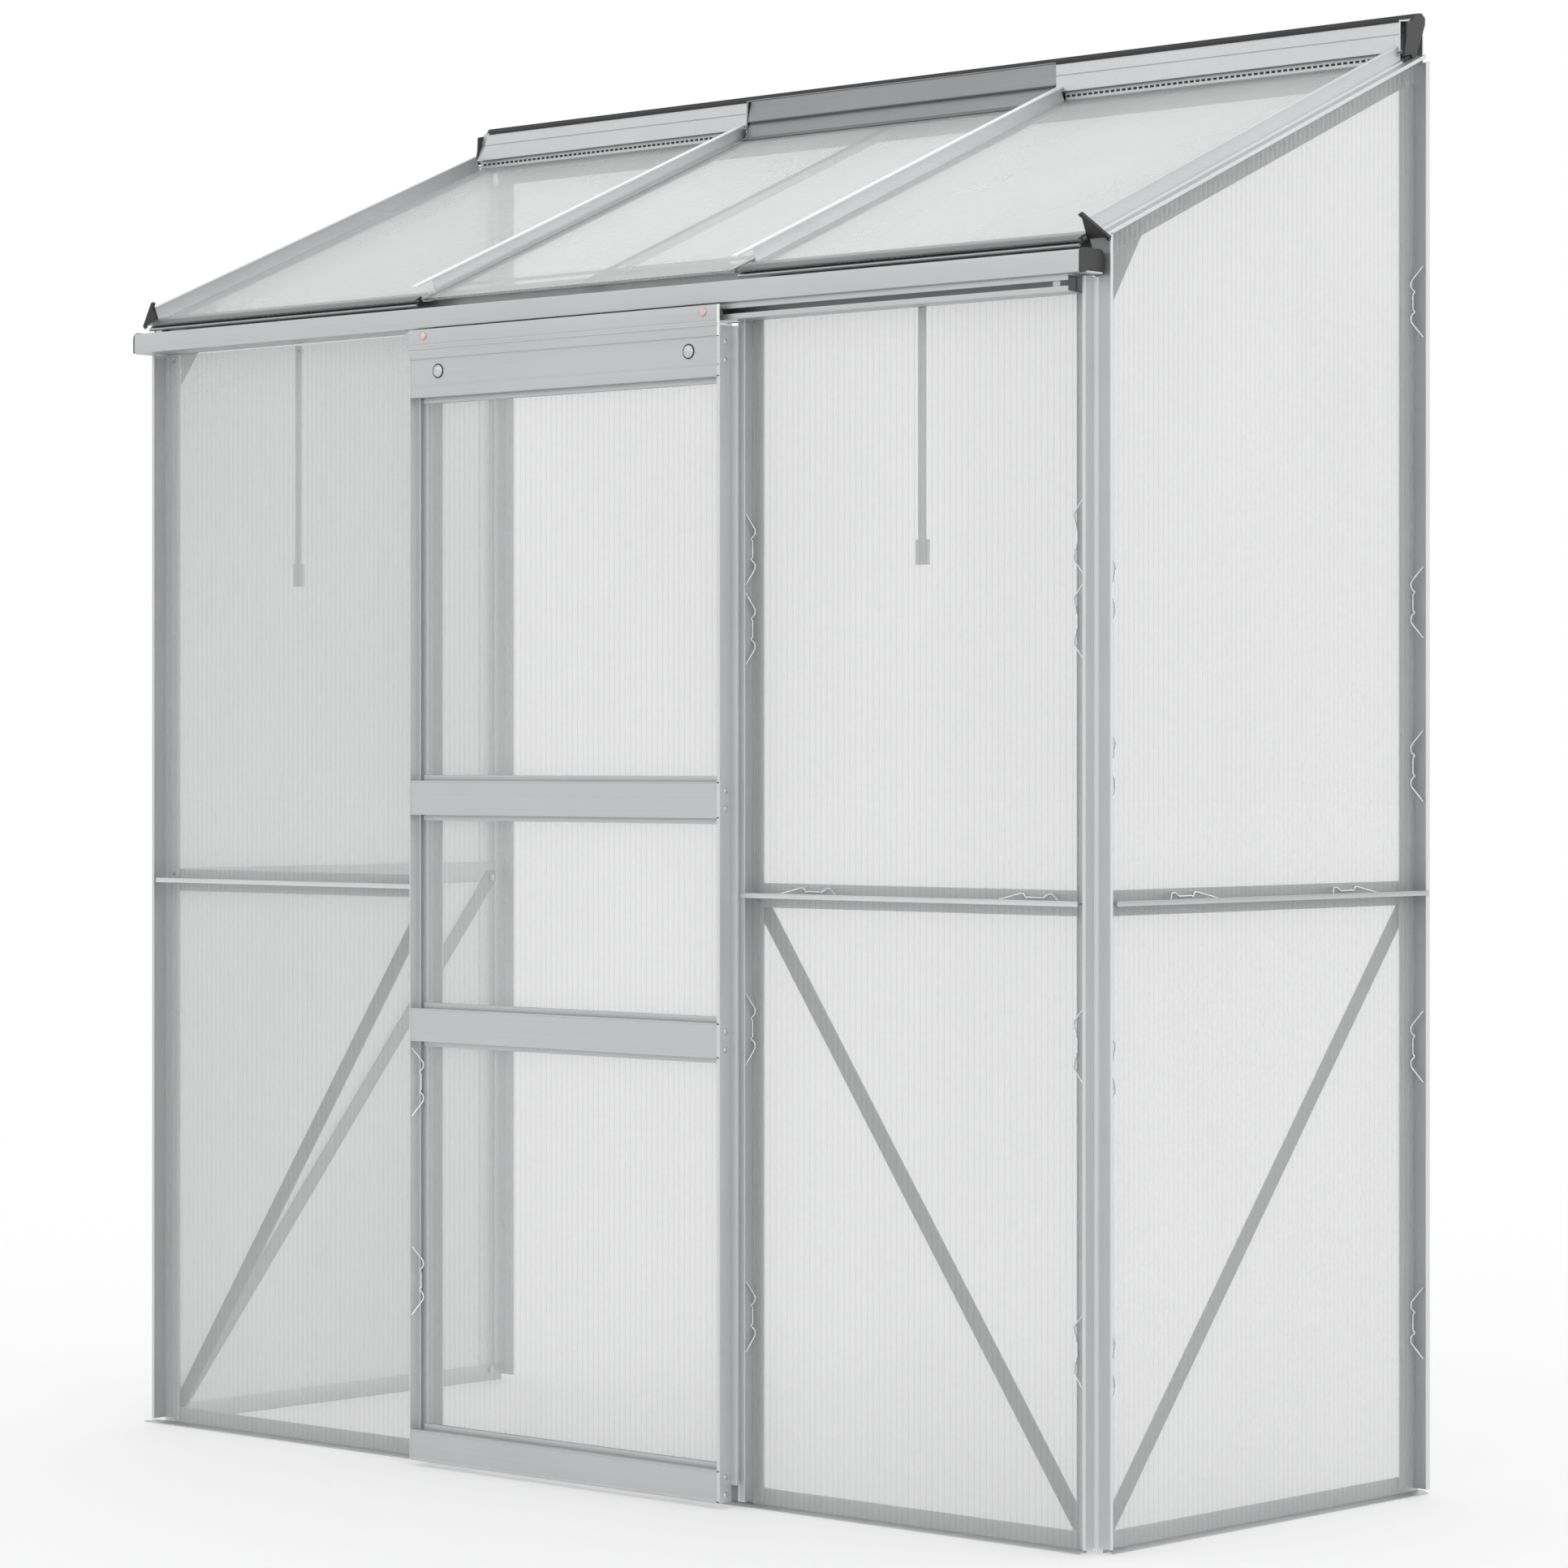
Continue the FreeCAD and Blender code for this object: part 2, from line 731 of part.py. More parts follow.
def gutter_end_caps():
    """A moulded plate closes each end of the gutter, with a rim that goes inside it."""
    x0 = half + gutter_overhang
    front = -gutter_front
    back = -gutter_back
    cut = gutter_cap_chamfer
    rim_gap = glazing_gap
    plate = prism_x([
        (front, gutter_low), (back, gutter_low), (back, gutter_high + metal - cut),
        (back - cut, gutter_high + metal), (front + cut, gutter_high + metal),
        (front, gutter_high + metal - cut),
    ], x0, x0 + end_cap_metal)
    ledge = block(x0, x0 + end_cap_metal + 2 * metal, front + cut, back - cut,
                  gutter_low, gutter_low + metal)
    rim_front = front + metal + rim_gap
    rim = block(x0 - 3 * gutter_cap_rim, x0, rim_front, rim_front + gutter_cap_rim,
                gutter_low + metal, gutter_high - 2 * metal)
    cap = joined([plate, ledge, rim])
    keep("gutter_end_caps", Part.makeCompound([cap, mirrored(cap)]))


def rafter_end_caps():
    """A plate across the two web tips, with a body that fills the angle between the webs."""
    low = -rafter_front - rafter_cap_thick
    over = rafter_cap_over / math.sqrt(2)
    tip = bar_stand + over
    wide = rafter_cap_wide / math.sqrt(2)
    web = metal / 2

    def plate_at(points):
        corners = [V(half + x, low, n) for x, n in points]
        face = Part.Face(Part.makePolygon(corners + corners[:1]))
        return face.extrude(V(0, rafter_cap_thick, 0))

    edge = tip + wide / 2
    plate = plate_at([(-over, tip), (-over + wide, edge), (edge, -over + wide), (tip, -over)])
    body = plate_at([(-web, -web), (-web, bar_stand + web), (bar_stand + web, -web)])
    cap = on_roof(joined([plate, body]))
    keep("rafter_end_caps", Part.makeCompound([cap, mirrored(cap)]))


def ridge_bar():
    """One long section: wall flange, top, leaning face with a hinge bead, and a sheet seat.

    The bead is as long as the vent's hinge rail, and a flat band runs on beside it.
    """
    mid = metal / 2
    long = half + ridge_over
    wall = wall_y - mid
    face_low = (ridge_face_low_y, ridge_face_low_z)
    face_top = (ridge_face_top_y, ridge_face_top_z)
    lip_back = (ridge_face_low_y + 2 * metal, ridge_face_low_z - metal)
    flange = folded([(wall, ridge_low + mid), (wall, ridge_wall_top - mid), face_top], metal, -long, long)
    face = folded([face_top, face_low, lip_back], metal, -long, long)
    bead_end = vent_half() + hinge_rail_over
    neck = strip((bead_y, bead_z), face_top, metal, -bead_end, bead_end)
    bead = Part.makeCylinder(bead_r, 2 * bead_end, V(-bead_end, bead_y, bead_z), V(1, 0, 0))
    lean = V(0, face_top[0] - face_low[0], face_top[1] - face_low[1]).normalize()
    foot = V(0, *face_low) + V(0, -lean.z, lean.y) * band_proud
    start = foot + lean * band_low
    end = foot + lean * band_high
    band = strip((start.y, start.z), (end.y, end.z), metal, bead_end + glazing_gap, long)
    seat_n = -metal - mid
    seat_end = along_slope(wall_y - metal) + seat_n * slope
    seat = strip(roof_point(vent_top + mid, seat_n), roof_point(seat_end - mid, seat_n),
                 metal, -rail_x, rail_x)
    behind = block(-long, long, wall_y, wall_y + metal, ridge_low, 2 * ridge_low)
    pieces = [flange, face, neck, bead, band, mirrored(band), seat]
    keep("ridge_bar", drilled(joined(pieces).cut(behind)))


def ridge_seal():
    """A soft strip on the ridge's top, pressed against the wall."""
    long = half + ridge_over
    points = [
        (seal_front_y, ridge_face_top_z),
        (seal_front_y, overall_height - seal_front_drop),
        (seal_crown_y - seal_shoulder, overall_height - seal_shoulder_drop),
        (seal_crown_y, overall_height),
        (wall_y, overall_height - seal_back_drop),
        (wall_y, ridge_face_top_z),
    ]
    solid = prism_x(points, -long, long)
    rise = (ridge_wall_top - metal / 2 - ridge_face_top_z) / (wall_y - metal / 2 - ridge_face_top_y)
    start_y = ridge_face_top_y - metal
    under = prism_x([
        (start_y, ridge_face_top_z - rise * metal), (start_y, ridge_low),
        (2 * wall_y, ridge_low), (2 * wall_y, ridge_face_top_z + rise * (2 * wall_y - ridge_face_top_y)),
    ], -long, long)
    keep("ridge_seal", solid.cut(under).cut(written["ridge_bar"]))


def ridge_end_caps():
    """A moulded plate closes each end of the ridge bar."""
    x0 = half + ridge_over
    back = wall_y - ridge_cap_back
    low_y = ridge_face_low_y
    low_z = ridge_face_low_z
    points = [
        (seal_crown_y - seal_shoulder, overall_height - seal_shoulder_drop),
        (seal_crown_y, overall_height),
        (back, ridge_wall_top + ridge_cap_back),
        (back, ridge_wall_top - ridge_cap_heel_high),
        (low_y + ridge_cap_toe, low_z - ridge_cap_toe_drop),
        (low_y + ridge_cap_notch, low_z - ridge_cap_notch_drop),
        (low_y - ridge_cap_edge, low_z - ridge_cap_nose_drop),
        (low_y + ridge_cap_waist, low_z + ridge_cap_waist_rise),
        (bead_y - ridge_cap_edge, bead_z + ridge_cap_brow),
        (ridge_face_top_y + ridge_cap_edge, ridge_face_top_z + ridge_cap_crest),
        (seal_front_y, overall_height - seal_front_drop),
    ]
    cap = prism_x(points, x0, x0 + ridge_cap_thick)
    keep("ridge_end_caps", Part.makeCompound([cap, mirrored(cap)]))


def track_stops():
    """Where the two end stops start: one shuts the door, one is near the track's far end."""
    shut = axle_xs()[0] - roller_r - guide_gap - track_stop_long
    return shut, track_right - track_stop_inset - track_stop_long


def door_travel():
    """How far the door slides before its right roller meets the far stop."""
    return track_stops()[1] - guide_gap - roller_r - axle_xs()[1]


def door_track():
    """A slotted channel under the gutter that the door's rollers run in."""
    mid = metal / 2
    front = -track_front + mid
    back = -track_back - mid
    low = track_low + mid
    high = gutter_low - mid
    points = [(front, high - track_upper_lip + mid), (front, high), (back, high), (back, low), (front, low),
              (front, low + track_lower_lip - mid)]
    keep("door_track", folded(points, metal, track_left, track_right))
    stop_y0 = front + metal
    stop_y1 = back - metal
    stops = []
    for start in track_stops():
        end = start + track_stop_long
        stops.append(block(start, end, stop_y0, stop_y1, track_low + metal, high - mid))
    keep("track_end_stops", Part.makeCompound(stops))


def wall_sheets():
    """Flat sheets between the bars' webs, lower and upper, standing on ledge and mid-rail."""
    web = metal / 2
    gap = glazing_gap
    low_top = mid_rail_z - web
    high_low = mid_rail_z + web
    x0 = jamb_x + web + gap
    x1 = half - web - gap
    top = gutter_low - metal
    keep_pair("panel_front_lower", block(x0, x1, -sheet, 0, base_ledge_z, low_top))
    keep_pair("panel_front_upper", block(x0, x1, -sheet, 0, high_low, top))
    y0 = web + gap
    y1 = rear_web_y - gap
    keep_pair("panel_gable_lower", block(half, half + sheet, y0, y1, base_ledge_z, low_top))
    upper = block(half, half + sheet, y0, y1, high_low, eaves_z + wall_y)
    upper = upper.cut(above_roof_line(-web, 0, 2 * half))
    keep_pair("panel_gable_upper", upper)


def roof_sheets():
    """The roof sheets of the side bays, with a clamping strip on each eaves edge."""
    web = metal / 2
    x0 = jamb_x + web + glazing_gap
    x1 = half - web - glazing_gap
    top = along_slope(rear_web_y) - sheet_top_gap
    low = -roof_overhang
    keep_pair("roof_panel", on_roof(block(x0, x1, low, top, 0, sheet)))
    skin = retainer_metal
    nose = low - skin
    over = block(x0, x1, nose - retainer_brow, low + retainer_reach, sheet, sheet + retainer_top)
    front = block(x0, x1, nose, low, -retainer_nose, sheet + skin)
    under = block(x0, x1, nose, low + retainer_reach / 2, -skin, 0)
    lip = block(x0, x1, nose - retainer_nose, low, -retainer_nose, -retainer_nose + skin)
    right = on_roof(joined([over, front, under, lip]))
    keep("panel_retainers", Part.makeCompound([right, mirrored(right)]))


def hanging_bars():
    """A flat bar hangs from the eaves wall in the middle of each side bay."""
    x = hanging_x()
    y0 = inner
    bar = block(x - hanging_wide / 2, x + hanging_wide / 2, y0, y0 + metal, hanging_low, hanging_high)
    foot = block(x - hanging_foot_wide / 2, x + hanging_foot_wide / 2, y0, y0 + inner,
                 hanging_low, hanging_low + hanging_foot_high)
    keep_pair("hanging_bar", drilled(joined([bar, foot])))


def clip_shape(across):
    """A spring-wire clip: it runs along +Z, across +X, and its two arms stand out along -Y."""
    face = clip_wire_r + 0.2
    upper = [
        V(across - clip_step, -face, clip_middle),
        V(across, -face, clip_hook),
        V(across, -face, clip_knee),
        V(clip_wire_r + metal, -clip_out, clip_half),
    ]
    lower = [V(at.x, at.y, -at.z) for at in reversed(upper)]
    return wire(lower + upper, clip_wire_r)


def glazing_clips():
    """Clips beside the webs of the right bay, and of both gables."""
    base = clip_shape(clip_across)
    rear_base = clip_shape(rear_clip_across).mirror(V(0, 0, 0), V(1, 0, 0))
    corner_base = clip_shape(corner_clip_across)
    flipped = corner_base.mirror(V(0, 0, 0), V(1, 0, 0))
    clips = []
    for z in front_clip_heights:
        at_jamb = base.copy()
        at_jamb.translate(V(jamb_x, -sheet, z))
        at_corner = flipped.copy()
        at_corner.translate(V(half, -sheet, z))
        clips += [at_jamb, at_corner]
    for z in wall_clip_heights:
        if z < eaves_z - clip_half:
            near = corner_base.copy()
            near.rotate(V(0, 0, 0), V(0, 0, 1), 90)
            near.translate(V(half + sheet, 0, z))
            clips += [near, mirrored(near)]
        rear = rear_base.copy()
        rear.rotate(V(0, 0, 0), V(0, 0, 1), 90)
        rear.translate(V(half + sheet, rear_web_y, z))
        clips += [rear, mirrored(rear)]
    keep("glazing_clips", Part.makeCompound(clips))


def frame_bolts():
    """The bolts and nuts that hold the frame together."""
    keep("frame_bolts", Part.makeCompound([frame_bolt(place) for place in all_bolts]))


def axle_xs():
    """The places of the two roller axles along the door's head."""
    return door_left + axle_inset, door_right - axle_inset


def axle_z():
    """The axles' height: the rollers stand just clear of the track's floor."""
    return track_low + metal + roller_run + roller_r


def door_rail_limits():
    """The (low, high) limits of the door's four cross rails, from the bottom up."""
    return [
        (door_low, door_low + bottom_rail_high),
        (lower_rail_low, lower_rail_low + lower_rail_high),
        (upper_rail_low, upper_rail_low + upper_rail_high),
        (door_high - head_rail_high, door_high),
    ]


def screw_heights():
    """The heights of the pairs of screws through each stile into the rails."""
    heights = []
    for low, high in door_rail_limits():
        middle = (low + high) / 2
        heights += [middle - stile_screw_pitch / 2, middle + stile_screw_pitch / 2]
    return heights


def stile_screw(x, z, side):
    """A domed screw through a stile's web into a rail; side is +1 on the right."""
    shank = Part.makeCylinder(metal, stile_screw_long)
    screw = joined([dome(stile_screw_r, stile_screw_high), shank])
    return turned_to(screw, V(x, -door_front + door_deep / 2, z), V(-side, 0, 0))


def door_stiles():
    """Upright edge sections: a deep web, a front lip, a pocket for the sheets and a rear cover.

    The rear cover closes the view past the door's edge, and stops short of the foot. The left
    stile has no front lip.
    """
    left, right = door_left, door_right
    front = -door_front
    back = front + door_deep
    pocket = front + pocket_back
    land_back = pocket + sheet + 2 * pocket_slack
    web = block(right - metal, right, front, back, door_low, door_high)
    lip = block(right - stile_lip, right, front, front + metal, door_low, door_high)
    front_land = block(right - stile_land / 2, right, pocket - land_metal, pocket, door_low, door_high)
    rear_land = block(right - stile_land, right, land_back, land_back + land_metal, door_low, door_high)
    cover = block(right - metal, right + stile_cover, back - metal, back,
                  door_low + stile_cover_low, door_high)
    stile = joined([web, lip, front_land, rear_land, cover])
    for low, high in door_rail_limits():
        room = block(right - stile_land - 1, right - metal, front, back, low, high)
        stile = stile.cut(room)
    holes = []
    for z in screw_heights():
        at = V(right + 1, front + door_deep / 2, z)
        holes.append(Part.makeCylinder(metal + bolt_hole_slack, metal + 2, at, V(-1, 0, 0)))
    stile = stile.cut(holes)
    other = stile.mirror(V((left + right) / 2, 0, 0), V(1, 0, 0))
    other = other.cut(block(left + metal, left + stile_lip, front, front + metal, door_low, door_high))
    keep("door_stile_right", stile)
    keep("door_stile_left", other)


def door_rail(low, high, land_low, land_high):
    """A cross rail open to the back, with a pocket for a sheet above and below."""
    left, right = door_left, door_right
    x0 = left + metal
    x1 = right - metal
    front = -door_front
    back = front + door_deep
    pocket = front + pocket_back
    land_back = pocket + sheet + 2 * pocket_slack
    pieces = [
        block(x0, x1, front, front + metal, low, high),
        block(x0, x1, front, back, low, low + metal),
        block(x0, x1, front, back, high - metal, high),
    ]
    land_x0 = left + stile_land
    land_x1 = right - stile_land
    lands = []
    if land_low:
        lands.append((low - rail_land, low + metal))
    if land_high:
        lands.append((high - metal, high + rail_land))
    for z0, z1 in lands:
        pieces.append(block(land_x0, land_x1, pocket - land_metal, pocket, z0, z1))
        pieces.append(block(land_x0, land_x1, land_back, land_back + land_metal, z0, z1))
    return joined(pieces)


def door_rails():
    """The bottom rail, two middle rails and the head rail with its shallow bands."""
    limits = door_rail_limits()
    keep("door_bottom_rail", door_rail(*limits[0], False, True))
    middles = [door_rail(*limits[1], True, True), door_rail(*limits[2], True, True)]
    keep("door_mid_rails", Part.makeCompound(middles))
    low, high = limits[3]
    head = door_rail(low, high, True, False)
    left, right = door_left, door_right
    band = block(left, right, -door_front - 1, -door_front + head_step,
                 low + head_band_low, high - head_band_high)
    head = head.cut(band)
    for x in dome_xs():
        hole = Part.makeCylinder(metal + bolt_hole_slack, 3 * metal,
                                 V(x, -door_front - metal, dome_z), V(0, 1, 0))
        head = head.cut(hole)
    keep("door_head_rail", head)


def dome_xs():
    """The places of the two domed bolts on the head rail."""
    return door_left + dome_inset, door_right - dome_inset


def door_hanger():
    """A plate along the door's top that carries the roller axles."""
    left, right = door_left, door_right
    front = -door_front - hanger_metal
    low = door_high - head_band_high
    end = right - nylon_wide
    plate = block(left, end, front, -door_front, low, hanger_high)
    foot = block(left, right - stile_lip, -door_front, -door_front + 3 * hanger_ledge_deep,
                 door_high, door_high + metal)
    ledge = block(left, end, front - hanger_ledge_deep / 2, -door_front,
                  door_high, door_high + hanger_ledge)
    hanger = joined([plate, foot, ledge])
    for x in axle_xs():
        hole = Part.makeCylinder(axle_r + bolt_hole_slack, 4 * hanger_ledge_deep,
                                 V(x, front - 2 * hanger_ledge_deep, axle_z()), V(0, 1, 0))
        hanger = hanger.cut(hole)
    keep("door_hanger_plate", hanger)


def roller_limits():
    """The front and rear faces of a roller, behind the track's front lips."""
    front = -track_front + metal + roller_front_gap
    return front, front + roller_wide


def door_rollers():
    """Flanged nylon rollers, free to turn on the axles."""
    front, back = roller_limits()
    groove = roller_rim
    for side, x in zip(("left", "right"), axle_xs()):
        at = V(x, front, axle_z())
        wheel = Part.makeCylinder(roller_r, roller_wide, at, V(0, 1, 0))
        rim = Part.makeCylinder(roller_r + 1, groove, at, V(0, 1, 0))
        inside = Part.makeCylinder(roller_r - groove, groove, at, V(0, 1, 0))
        bore = Part.makeCylinder(axle_r + running_fit, roller_wide, at, V(0, 1, 0))
        keep("door_roller_" + side, wheel.cut(rim.cut(inside)).cut(bore))


def door_fasteners():
    """Roller axles, domed bolts and stile screws."""
    left, right = door_left, door_right
    front, back = roller_limits()
    plate_front = -door_front - hanger_metal
    pieces = []
    for x in axle_xs():
        at = V(x, plate_front, axle_z())
        length = back + washer + metal - plate_front
        shank = Part.makeCylinder(axle_r, length, at, V(0, 1, 0))
        sleeve = Part.makeCylinder(axle_r + metal, front - washer / 2 + door_front,
                                   V(x, -door_front, axle_z()), V(0, 1, 0))
        sleeve = sleeve.cut(block(x - half, x + half, -track_front - metal, 0, 0, axle_z() * 2))
        tail = Part.makeCylinder(axle_tail_r, metal, V(x, back + roller_run, axle_z()), V(0, 1, 0))
        head = turned_to(dome(axle_head_r, axle_head_high), at, V(0, 1, 0))
        pieces.append(joined([shank, head, tail, sleeve]))
    for x in dome_xs():
        face = -door_front + head_step
        shank = Part.makeCylinder(metal, 4 * metal)
        back_nut = nut(nut_r, nut_high, metal - head_step)
        bolt = joined([dome(dome_r, dome_high), shank, back_nut])
        pieces.append(turned_to(bolt, V(x, face, dome_z), V(0, 1, 0)))
    for z in screw_heights():
        pieces.append(stile_screw(right, z, 1))
        pieces.append(stile_screw(left, z, -1))
    keep("door_fasteners", Part.makeCompound(pieces))


def door_sheets():
    """Three sheets held in the pockets of the stiles and rails."""
    left, right = door_left, door_right
    front = -door_front + pocket_back + pocket_slack
    x0 = left + metal + glazing_gap
    x1 = right - metal - glazing_gap
    limits = door_rail_limits()
    sheets = []
    for lower, upper in zip(limits, limits[1:]):
        sheets.append(block(x0, x1, front, front + sheet, lower[1], upper[0] - glazing_gap))
    keep("door_panels", Part.makeCompound(sheets))


def door_guides():
    """Nylon guides on the bottom rail, and a nylon end on the hanger and the right stile.

    The guides' tongues pass over the base rail's lip.
    """
    left, right = door_left, door_right
    back = -door_front + door_deep
    tongue_low = base_ledge_z + guide_gap
    tongue_high = post_foot - guide_gap
    pieces = []
    for x in (left + guide_inset, right - guide_inset - guide_long):
        pad = block(x, x + guide_long, back, back + guide_pad, tongue_low, door_low + bottom_rail_high / 2)
        tongue = block(x, x + guide_long, back, back + guide_tongue, tongue_low, tongue_high)
        pieces.append(joined([pad, tongue]))
    face = block(right - nylon_wide, right, -door_front - hanger_metal, -door_front,
                 door_high - head_band_high, hanger_high)
    plug = block(right - stile_lip, right, -door_front, back, door_high, door_high + nylon_plug)
    pieces.append(joined([face, plug]))
    keep("door_guides", Part.makeCompound(pieces))


def vent_half():
    """Half the vent's width: it drops between the roof bars' caps."""
    return jamb_x - bar_cap / 2 - vent_side_gap


def vent_hook():
    """The rolled edge of the hinge rail that turns about the ridge's bead."""
    out = vent_half() + hinge_rail_over
    inside = bead_r + hook_gap
    outside = inside + hook_metal
    sweep = hook_to - hook_from
    start = V(-out, bead_y, bead_z)
    ring = Part.makeCylinder(outside, 2 * out, start, V(1, 0, 0))
    ring = ring.cut(Part.makeCylinder(inside, 2 * out, start, V(1, 0, 0)))
    reach = 4 * outside
    steps = 8
    fan = [(bead_y, bead_z)]
    gap = 360 - sweep
    for k in range(steps + 1):
        turn = math.radians(hook_to + gap * k / steps)
        fan.append((bead_y + reach * math.cos(turn), bead_z + reach * math.sin(turn)))
    return ring.cut(prism_x(fan, -out - 1, out + 1))


def on_hook(turn):
    """The (y, z) point in the middle of the hook's wall at an angle about the bead."""
    mean_r = bead_r + hook_gap + hook_metal / 2
    angle = math.radians(turn)
    return bead_y + mean_r * math.cos(angle), bead_z + mean_r * math.sin(angle)


def vent_hinge_rail():
    """The vent's top rail: a hook on the bead, a box section, and a pocket for the sheet."""
    edge = vent_half()
    out = edge + hinge_rail_over
    skin = vent_skin
    pocket_low = vent_lift + skin / 2
    pocket_high = vent_lift + skin + sheet + skin / 2
    mouth = vent_top - vent_pocket
    pocket = folded([
        roof_point(mouth, pocket_low), roof_point(vent_top + skin, pocket_low),
        roof_point(vent_top + skin, pocket_high), roof_point(mouth, pocket_high),
    ], skin, -edge, edge)
    pocket_point = roof_point(vent_top, pocket_high + skin / 2)
    box_low = (ridge_face_low_y - hinge_box_out, ridge_face_low_z + hinge_box_lift)
    box_high = (box_low[0] + hinge_box_lean, box_low[1] + hinge_box_high)
    plate = folded([on_hook(hook_plate_at), pocket_point], hook_metal, -edge, edge)
    box = folded([on_hook(hook_box_at), box_high, box_low, pocket_point], hook_metal, -edge, edge)
    ends_trimmed = block(-out, out, bead_y - 2 * bar_stand, wall_y, ridge_low, overall_height)
    keep("vent_hinge_rail", joined([vent_hook(), pocket, plate, box]).common(ends_trimmed))


def vent_frame():
    """Two side channels and a centre bar under the sheet, a cross bar with the stay's ear, a catch."""
    edge = vent_half()
    skin = vent_skin
    low = vent_lift
    sheet_low = low + skin
    sheet_high = sheet_low + sheet
    start = -roof_overhang
    end = vent_top - vent_pocket - vent_frame_gap
    leg = block(edge - vent_leg, edge, start, end, low, sheet_low)
    web = block(edge - skin, edge, start, end, low, sheet_high + skin)
    lip = block(edge - vent_frame_wide, edge, start, end, sheet_high, sheet_high + skin)
    channel = joined([leg, web, lip])
    cross_end = vent_cross_at + vent_cross_wide
    cross_half = edge - vent_leg + vent_cross_lap
    cross = block(-cross_half, cross_half, vent_cross_at, cross_end, low - skin, low)
    bar_half = vent_bar_wide / 2
    strap = block(-bar_half, bar_half, start + skin, end, low, sheet_low)
    rib = block(-skin / 2, skin / 2, cross_end + 2 * bar_cap, end, sheet_low - vent_bar_deep, sheet_low)
    pieces = [
        channel,
        mirrored(channel),
        joined([cross, stay_ear(low)]),
        joined([strap, rib]),
        catch_block(sheet_high + skin),
    ]
    keep("vent_frame", Part.makeCompound([on_roof(piece) for piece in pieces]))


def stay_ear(top):
    """The block under the cross bar that holds the stay's pivot pin."""
    s0 = vent_cross_at
    s1 = s0 + stay_ear_thick
    n = -stay_drop
    ear = block(-stay_ear_wide / 2, stay_ear_wide / 2, s0, s1, n - stay_pin_head_r, top)
    pin_end = s1 + stay_thick + 2 * guide_gap
    pin = Part.makeCylinder(stay_pin_r, pin_end - s1, V(0, s1, n), V(0, 1, 0))
    head_start = s1 + stay_thick + guide_gap
    head = Part.makeCylinder(stay_pin_head_r, pin_end - head_start, V(0, head_start, n), V(0, 1, 0))
    return joined([ear, pin, head])


def catch_block(n):
    """A small moulded catch on the left channel, near the eaves."""
    edge = vent_half()
    low = -roof_overhang
    base = block(-edge, -edge + catch_wide, low, low + catch_long, n, n + catch_high / 2)
    nose = block(-edge, -edge + catch_wide / 2, low, low + catch_long / 2, n, n + catch_high)
    return joined([base, nose])


def vent_sheet():
    """The vent's own sheet, whose open flute ends show at the eaves."""
    edge = vent_half() - vent_skin - glazing_gap / 2
    low = vent_lift + vent_skin
    top = vent_top - glazing_gap
    keep("vent_panel", on_roof(block(-edge, edge, -roof_overhang, top, low, low + sheet)))


def vent_stay():
    """A flat holed bar, folded away under the cross bar when the vent is shut."""
    s0 = vent_cross_at + stay_ear_thick + guide_gap / 2
    s1 = s0 + stay_thick
    n = -stay_drop
    rounded = stay_wide / 2
    bar = block(0, stay_long, s0, s1, n - rounded, n + rounded)
    ends = [Part.makeCylinder(rounded, stay_thick, V(x, s0, n), V(0, 1, 0)) for x in (0, stay_long)]
    bar = joined([bar] + ends)
    bar = bar.cut(Part.makeCylinder(stay_pin_r + running_fit, stay_thick, V(0, s0, n), V(0, 1, 0)))
    for k in range(stay_holes):
        x = stay_long - k * stay_long / (stay_holes + 1)
        bar = bar.cut(Part.makeCylinder(stay_hole_r, stay_thick, V(x, s0, n), V(0, 1, 0)))
    keep("vent_stay", on_roof(bar))


def write_parts():
    """Centre the plan on the origin and write one file per node."""
    os.makedirs("parts", exist_ok=True)
    boxes = [shape.BoundBox for shape in written.values()]
    middle = (min(box.YMin for box in boxes) + max(box.YMax for box in boxes)) / 2
    for name, shape in written.items():
        placed = shape.copy()
        placed.translate(V(0, -middle, 0))
        placed.exportStep("parts/" + name + ".step")
        box = placed.BoundBox
        limits = (box.XMin, box.XMax, box.YMin, box.YMax, box.ZMin, box.ZMax)
        print(name, "solids", len(placed.Solids), "volume", round(placed.Volume),
              "limits", [round(limit, 1) for limit in limits])
    print("plan centre at y", middle, "nodes", len(written))
    print("door travel", door_travel(), "vent hinge at y", bead_y - middle, "z", bead_z)


base_rails()
corner_posts()
rear_posts()
jamb_bars()
mid_rails()
braces()
corner_gussets()
gable_rafters()
roof_bars()
gutter()
gutter_end_caps()
rafter_end_caps()
ridge_bar()
ridge_seal()
ridge_end_caps()
door_track()
wall_sheets()
roof_sheets()
hanging_bars()
glazing_clips()
frame_bolts()
door_stiles()
door_rails()
door_hanger()
door_rollers()
door_fasteners()
door_sheets()
door_guides()
vent_hinge_rail()
vent_frame()
vent_sheet()
vent_stay()
write_parts()
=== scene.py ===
import json
import math

